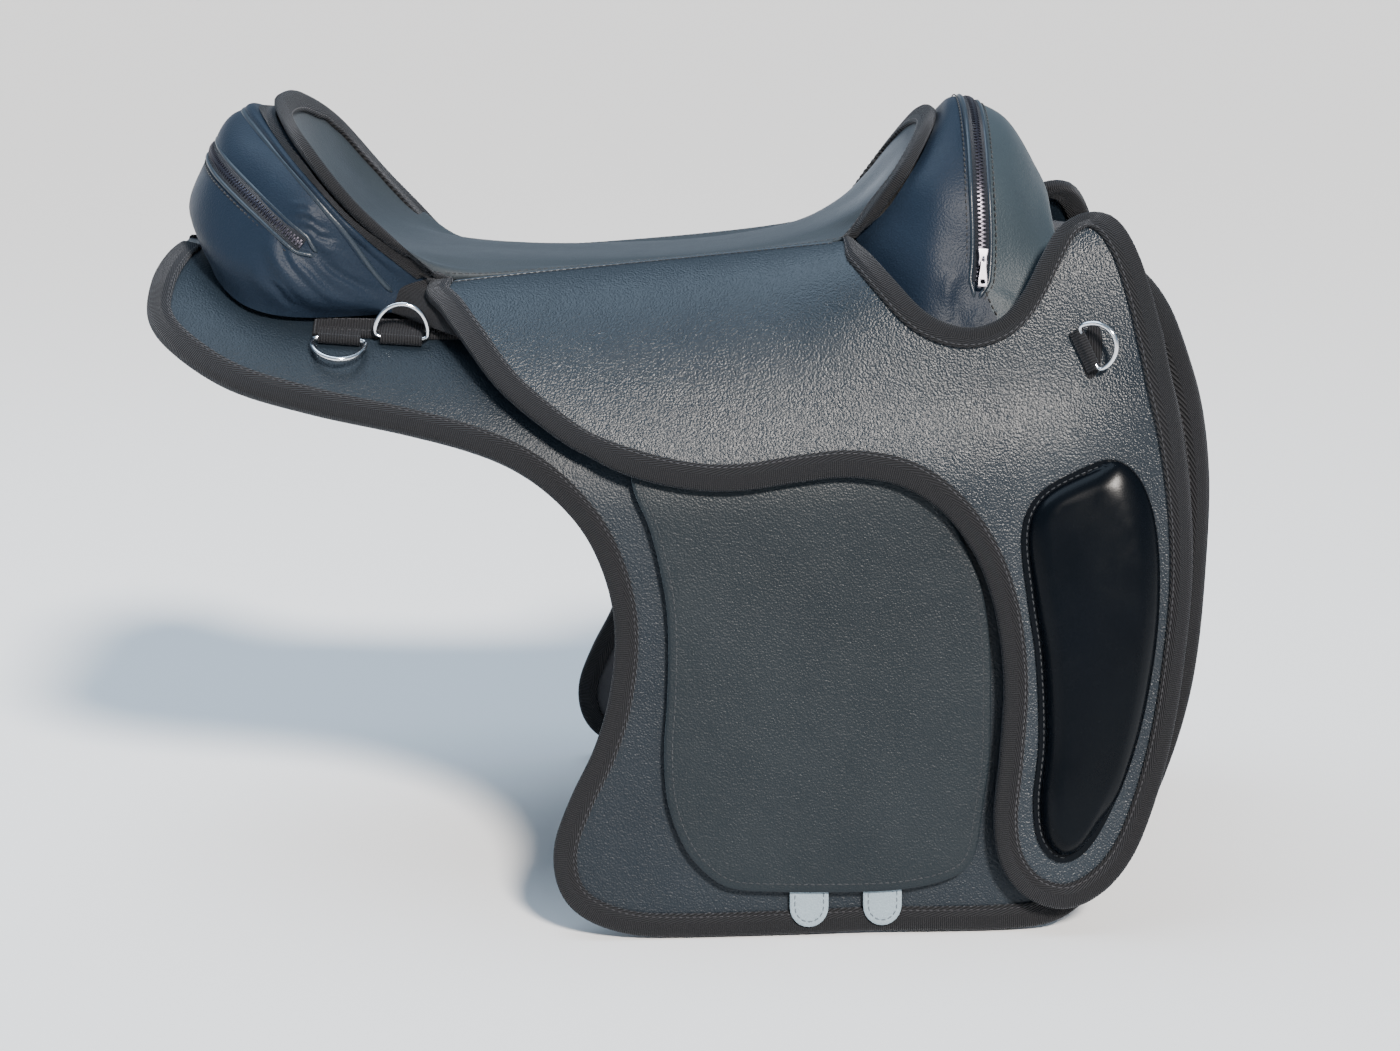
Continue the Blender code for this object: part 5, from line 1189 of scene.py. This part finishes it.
def keeper(name, place, hang):
    # Webbing folded round the ring's bar, its two layers one on the other behind it
    (a, b), wall = hang["spot"], keeperLook["wall"]
    hole = hang["wire"] / 2 + keeperLook["play"]
    height = hole + wall + keeperLook["clear"]
    if hang["onFlap"]:
        height += layer["flapThick"] + keeperLook["clear"]
    origin = place(a, b, height)
    out = unit(place(a, b, height + 0.01) - origin)
    bow = unit(place(a + hang["bow"][0], b + hang["bow"][1], height) - origin)
    bar = np.cross(bow, out)
    turns = np.linspace(-math.pi / 2, math.pi * 0.92, 15)
    outer, inner = ([(r * math.cos(t), r * math.sin(t)) for t in turns] for r in (hole + wall, hole))
    back = -hang["reach"]
    section = [(back, -hole - wall)] + outer + [(back, wall - hole), (back, 0.0001 - hole)]
    section += inner[::-1] + [(back, -hole)]
    along = np.linspace(-0.5, 0.5, 9)[:, None] * hang["wide"]
    rings = [origin + bar * along + bow * y + out * z for y, z in section]
    uvs = [np.hstack([along, np.full_like(along, far)]) for far in runsOf(np.array(section))]
    return swept(name, rings, uvs, strapTape, 40)


def stripLoop():
    # The strip's outline on the leather, from its rear end to its front end
    (a1, a2), (b1, b2), (b3, b4) = stripLook["ends"], stripLook["rear"], stripLook["front"]
    rear = [(a1, t) for t in np.linspace(b1, b2, 8)]
    front = [(a2, t) for t in np.linspace(b4, b3, 8)]
    under = [(a1 + (a2 - a1) * t, b2 + (b4 - b2) * t) for t in np.linspace(0.03, 0.97, 40)]
    above = [(a2 + (a1 - a2) * t, b3 + (b1 - b3) * t) for t in np.linspace(0.03, 0.97, 40)]
    return np.array(rear + under + front + above)


for side, (onBase, onFlap) in sides.items():
    for name, hang in ringHang.items():
        node = name + "_" + side
        first, *others = name.split("_")
        title = first + "".join(w.title() for w in others) + "_" + side
        ring = finished(title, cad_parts[node], chromeMetal, 2, 0.00022)
        settle(ring, node + "_body", "steel", node)
        place, body = (onFlap, "flap_" + side + "_body") if hang["onFlap"] else (onBase, "saddle")
        settle(keeper(title.replace("Ring", "Keeper"), place, hang), body, "webbing", node + "_tab")
    strip = leatherSheet("ringStrip_" + side, stripLoop(), onBase, stripLook["low"], stripLook["high"],
                         strapTape, 0.006, (0.0006, 0.0020), 0.0010)
    settle(strip, "saddle", "webbing")
    for row, ends in stripLook["seams"].items():
        path = np.stack([np.linspace(*stripLook["sewn"], 60), np.linspace(*ends, 60)], -1)
        sewOn("stripStitches" + row + "_" + side, onBase, path, stripLook["high"], blackThread)
    # Painted shade for the front tab's slit: a thin dark oval over the flap, not a real hole
    turns = np.linspace(0, 2 * math.pi, 49)[:-1]
    circle = np.stack([np.cos(turns), np.sin(turns)], -1)
    slitShadow = slitShadeLook["spot"] + shares(np.array(slitShadeLook["half"])) * circle
    top = layer["flapThick"]
    dark = leatherSheet("ringSlit_" + side, slitShadow, onFlap, top - slitShadeLook["proud"], top + slitShadeLook["proud"],
                        strapTape, 0.004, (0.0006,), 0.0003)
    settle(dark, "flap_" + side + "_body", "leather")
print("rings made")

# Zips: tape, teeth, leather welts, topstitching, slider and pull
zipLook = {
    "row": 2.0, "half": 0.0055, "pitch": 0.0014, "welt": 0.0062, "weltWide": 0.0034, "weltHigh": 0.0022,
    "topStitch": 0.0098, "beyond": 0.22,
}
# A tooth's section: out over the line, half width as a share of the pitch, height
tooth = [(0.0026, 0.44, 0.0010), (0.0026, 0.36, 0.0019), (0.0004, 0.40, 0.0024), (-0.0008, 0.28, 0.0021),
         (-0.0008, 0.28, 0.0011)]


def zipLines(skin, reach, count):
    vs = np.linspace(-reach, reach, count)
    centre, normal = skin.at(zipLook["row"], vs), skin.normal(zipLook["row"], vs)
    run = unit(np.gradient(centre, axis=0))
    return vs, centre, normal, run, np.cross(normal, run)


def zipLine(name, skin, reach, node):
    vs, centre, normal, run, side = zipLines(skin, reach, 201)
    runs, half, pitch = runsOf(centre), zipLook["half"], zipLook["pitch"]
    section = [(-half, 0.0006), (-half * 0.9, 0.0011), (0.0, 0.0012), (half * 0.9, 0.0011), (half, 0.0006),
               (0.0, 0.0001)]
    rings = [centre + side * x + normal * z for x, z in section]
    uvs = [np.stack([runs, np.full(len(runs), x)], -1) for x, z in section]
    settle(swept(name + "Tape", rings, uvs, zipTape), "saddle", "webbing", node)
    # Teeth from both sides meet on the line
    verts, faces = [], []
    count = int(runs[-1] / pitch)
    for k in range(count):
        at = (k + 0.5) * runs[-1] / count
        c, n, r = (np.array([np.interp(at, runs, x[:, i]) for i in range(3)]) for x in (centre, normal, run))
        s = np.cross(n, r) * (1 if k % 2 else -1)
        base = len(verts)
        for x, w, z in tooth:
            verts += [c + s * x + r * pitch * w + n * z, c + s * x - r * pitch * w + n * z]
        for i in range(5):
            j = (i + 1) % 5
            faces.append([base + 2 * i, base + 2 * i + 1, base + 2 * j + 1, base + 2 * j])
        faces += [[base + 2 * i for i in range(5)], [base + 2 * i + 1 for i in range(4, -1, -1)]]
    settle(meshPiece(name + "Teeth", verts, faces, zipMetal, None, smooth=30), "saddle", "steel")
    # Rolled leather edges along both sides, which close in at the ends, and stitching beyond them. The edges
    # are of the lighter welt leather, which paints a highlight along them
    vs, centre, normal, run, side = zipLines(skin, reach + zipLook["beyond"], 221)
    close = 1 - 0.72 * ramp((np.abs(vs) - reach + 0.05) / 0.27)[:, None]
    for word, sign in (("Rear", 1.0), ("Front", -1.0)):
        line = centre + side * sign * zipLook["welt"] * close
        bead(name + "Welt" + word, line, normal, zipLook["weltWide"], zipLook["weltHigh"], weltHighlightLeather)
        line = centre + side * sign * (zipLook["topStitch"] * (0.35 + 0.65 * close)) + normal * 0.0001
        stitches(name + "TopStitches" + word, line, normal, inkThread, width=0.0011)


def modelled(name, size, shape):
    # A rounded metal block of the given size, shaped in edit mode
    bpy.ops.mesh.primitive_cube_add(size=1.0)
    piece = bpy.context.object
    piece.name = name
    piece.data.name = name
    pick(piece)
    bpy.ops.object.mode_set(mode="EDIT")
    bpy.ops.mesh.select_all(action="SELECT")
    bpy.ops.mesh.subdivide(number_cuts=4)
    bpy.ops.object.mode_set(mode="OBJECT")
    for v in piece.data.vertices:
        v.co = [c * full for c, full in zip(shape(*v.co), size)]
    piece.data.materials.append(sliderMetal)
    changed(piece, "BEVEL", width=min(size) * 0.12, segments=2, limit_method="ANGLE")
    changed(piece, "SUBSURF", levels=1, render_levels=1)
    piece.data.shade_smooth()
    piece.data.set_sharp_from_angle(angle=math.radians(50))
    return piece


def placed(piece, origin, x, z):
    # Puts a modelled piece in its place by its mesh alone
    turn = Matrix(np.stack([x, np.cross(z, x), z], 1).tolist()).to_4x4()
    piece.data.transform(Matrix.Translation(Vector(origin + shift)) @ turn)


def waist(x, y, z):
    # A slider's plan: narrow in the middle, pointed at its nose
    pinch = 1 - 0.30 * math.exp(-((x - 0.02) / 0.17) ** 2) - 0.28 * max(x - 0.25, 0) * 4
    return x, y * pinch, z * (1 - 0.25 * abs(x))


def tongue(x, y, z):
    # A pull's plan: a narrow neck that widens to a square end
    wide = 0.62 + 0.38 * min(max((x + 0.20) / 0.35, 0), 1)
    return x, y * wide, z


pullLook = {
    "slider": (0.0120, 0.0070, 0.0034), "pull": (0.0170, 0.0062, 0.0014), "ride": 0.0037, "play": 0.0003,
    "hole": 0.0015, "rest": {"cantle": -2.3, "pommel": 2.9},
    "bridge": {"major_radius": 0.0019, "minor_radius": 0.0006, "major_segments": 20, "minor_segments": 8},
}
for name, skin in (("cantle", cantleSkin), ("pommel", pommelSkin)):
    row, rest = zipLook["row"], pullLook["rest"][name]
    seat, out = skin.place(row, rest, pullLook["ride"])[0], skin.normal(row, rest)[0]
    along = unit(skin.at(row, rest + 0.001)[0] - skin.at(row, rest - 0.001)[0])
    down = along if along[2] < 0 else -along
    down = unit(down - out * np.dot(down, out))
    slider = modelled(name + "Slider", pullLook["slider"], waist)
    bpy.ops.mesh.primitive_torus_add(location=(0.0018, 0, 0.0019), rotation=(math.pi / 2, 0, 0),
                                     **pullLook["bridge"])
    bridge = bpy.context.object
    bridge.data.transform(bridge.matrix_world)
    bridge.matrix_world = Matrix.Identity(4)
    bridge.data.materials.append(sliderMetal)
    bridge.data.shade_smooth()
    pick(slider, bridge)
    bpy.ops.object.join()
    placed(slider, seat, down, out)
    settle(slider, name + "_zip_body", "steel", name + "_zip_slider")
    length, width, thick = pullLook["pull"]
    hinge = seat + out * (pullLook["slider"][2] / 2 + pullLook["play"] + thick / 2)
    hinge = hinge + down * pullLook["slider"][0] / 4
    pull = modelled(name + "Pull", pullLook["pull"], tongue)
    hole = {"radius": pullLook["hole"], "depth": thick * 4, "location": (length * 0.30, 0, 0)}
    bpy.ops.mesh.primitive_cylinder_add(vertices=24, **hole)
    cutter = bpy.context.object
    changed(pull, "BOOLEAN", object=cutter, operation="DIFFERENCE", solver="EXACT")
    bpy.data.objects.remove(cutter)
    placed(pull, hinge + down * length / 2, down, out)
    settle(pull, name + "_zip_pull_body", "steel", name + "_zip_pull")

zipLine("cantleZip", cantleSkin, 2.8, "cantle_zip")
zipLine("pommelZip", pommelSkin, 3.2, "pommel_zip")
print("zips made")

# Floor, light and camera
view = {"target": (0.0145, 0.0, 0.230), "distance": 2.10, "elevation": 12.0, "lens": 77.14}
stage = {"size": 60.0, "floor": 0.90, "sunTurn": 22.0, "sunHeight": 37.0, "sunAngle": 9.0}
skyLook = {
    "light": {"From Min": 0.08, "From Max": 0.30, "To Min": 1.15, "To Max": 0.42},
    "tint": ((0.06, (0.97, 0.98, 1.0)), (0.32, (0.60, 0.79, 1.0))),
}
bpy.ops.mesh.primitive_plane_add(size=stage["size"], location=(0, 0, 0))
floor = bpy.context.object
floor.name = "floor"
floorShade = Shade("floorShade", baseColor=(stage["floor"],) * 3, roughness=0.85, specular=0.2)
floor.data.materials.append(floorShade.material)
floor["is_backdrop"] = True
world = bpy.data.worlds.new("studio")
bpy.context.scene.world = world
world.use_nodes = True
tree = world.node_tree
spot, split, glow, tint = (tree.nodes.new("ShaderNode" + kind) for kind in
                           ("TexCoord", "SeparateXYZ", "MapRange", "ValToRGB"))
for key, value in skyLook["light"].items():
    glow.inputs[key].default_value = value
for stop, (place, colour) in zip(tint.color_ramp.elements, skyLook["tint"]):
    stop.position = place
    stop.color = (*colour, 1.0)
tree.links.new(spot.outputs["Generated"], split.inputs[0])
tree.links.new(split.outputs[2], glow.inputs["Value"])
tree.links.new(split.outputs[2], tint.inputs["Fac"])
tree.links.new(glow.outputs[0], tree.nodes["Background"].inputs["Strength"])
tree.links.new(tint.outputs[0], tree.nodes["Background"].inputs["Color"])
turn, height = math.radians(stage["sunTurn"]), math.radians(stage["sunHeight"])
sunFrom = Vector((math.cos(height) * math.sin(turn), -math.cos(height) * math.cos(turn), math.sin(height)))
lamps = {
    "sunLamp": {
        "kind": "SUN", "at": sunFrom * 4, "size": math.radians(stage["sunAngle"]), "power": 7.4,
        "colour": (1.0, 0.93, 0.86),
    },
    "skyLamp": {
        "kind": "AREA", "at": Vector((-0.7, 0.1, 2.6)), "size": 2.0, "power": 60, "colour": (0.66, 0.82, 1.0),
    },
}
for name, lamp in lamps.items():
    bpy.ops.object.light_add(type=lamp["kind"], location=lamp["at"])
    light = bpy.context.object
    light.name = name
    setattr(light.data, "angle" if lamp["kind"] == "SUN" else "size", lamp["size"])
    light.data.energy = lamp["power"]
    light.data.color = lamp["colour"]
    light.rotation_euler = lamp["at"].to_track_quat("Z", "Y").to_euler()
tilt = math.radians(view["elevation"])
target = Vector(view["target"]) + Vector(form["shift"])
bpy.ops.object.camera_add(location=target + Vector((0, -math.cos(tilt), math.sin(tilt))) * view["distance"])
camera = bpy.context.object
camera.rotation_euler = (target - camera.location).to_track_quat("-Z", "Y").to_euler()
camera.data.lens = view["lens"]
camera.data.sensor_width = 36.0
bpy.context.scene.camera = camera
print("studio ready")

low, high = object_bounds()
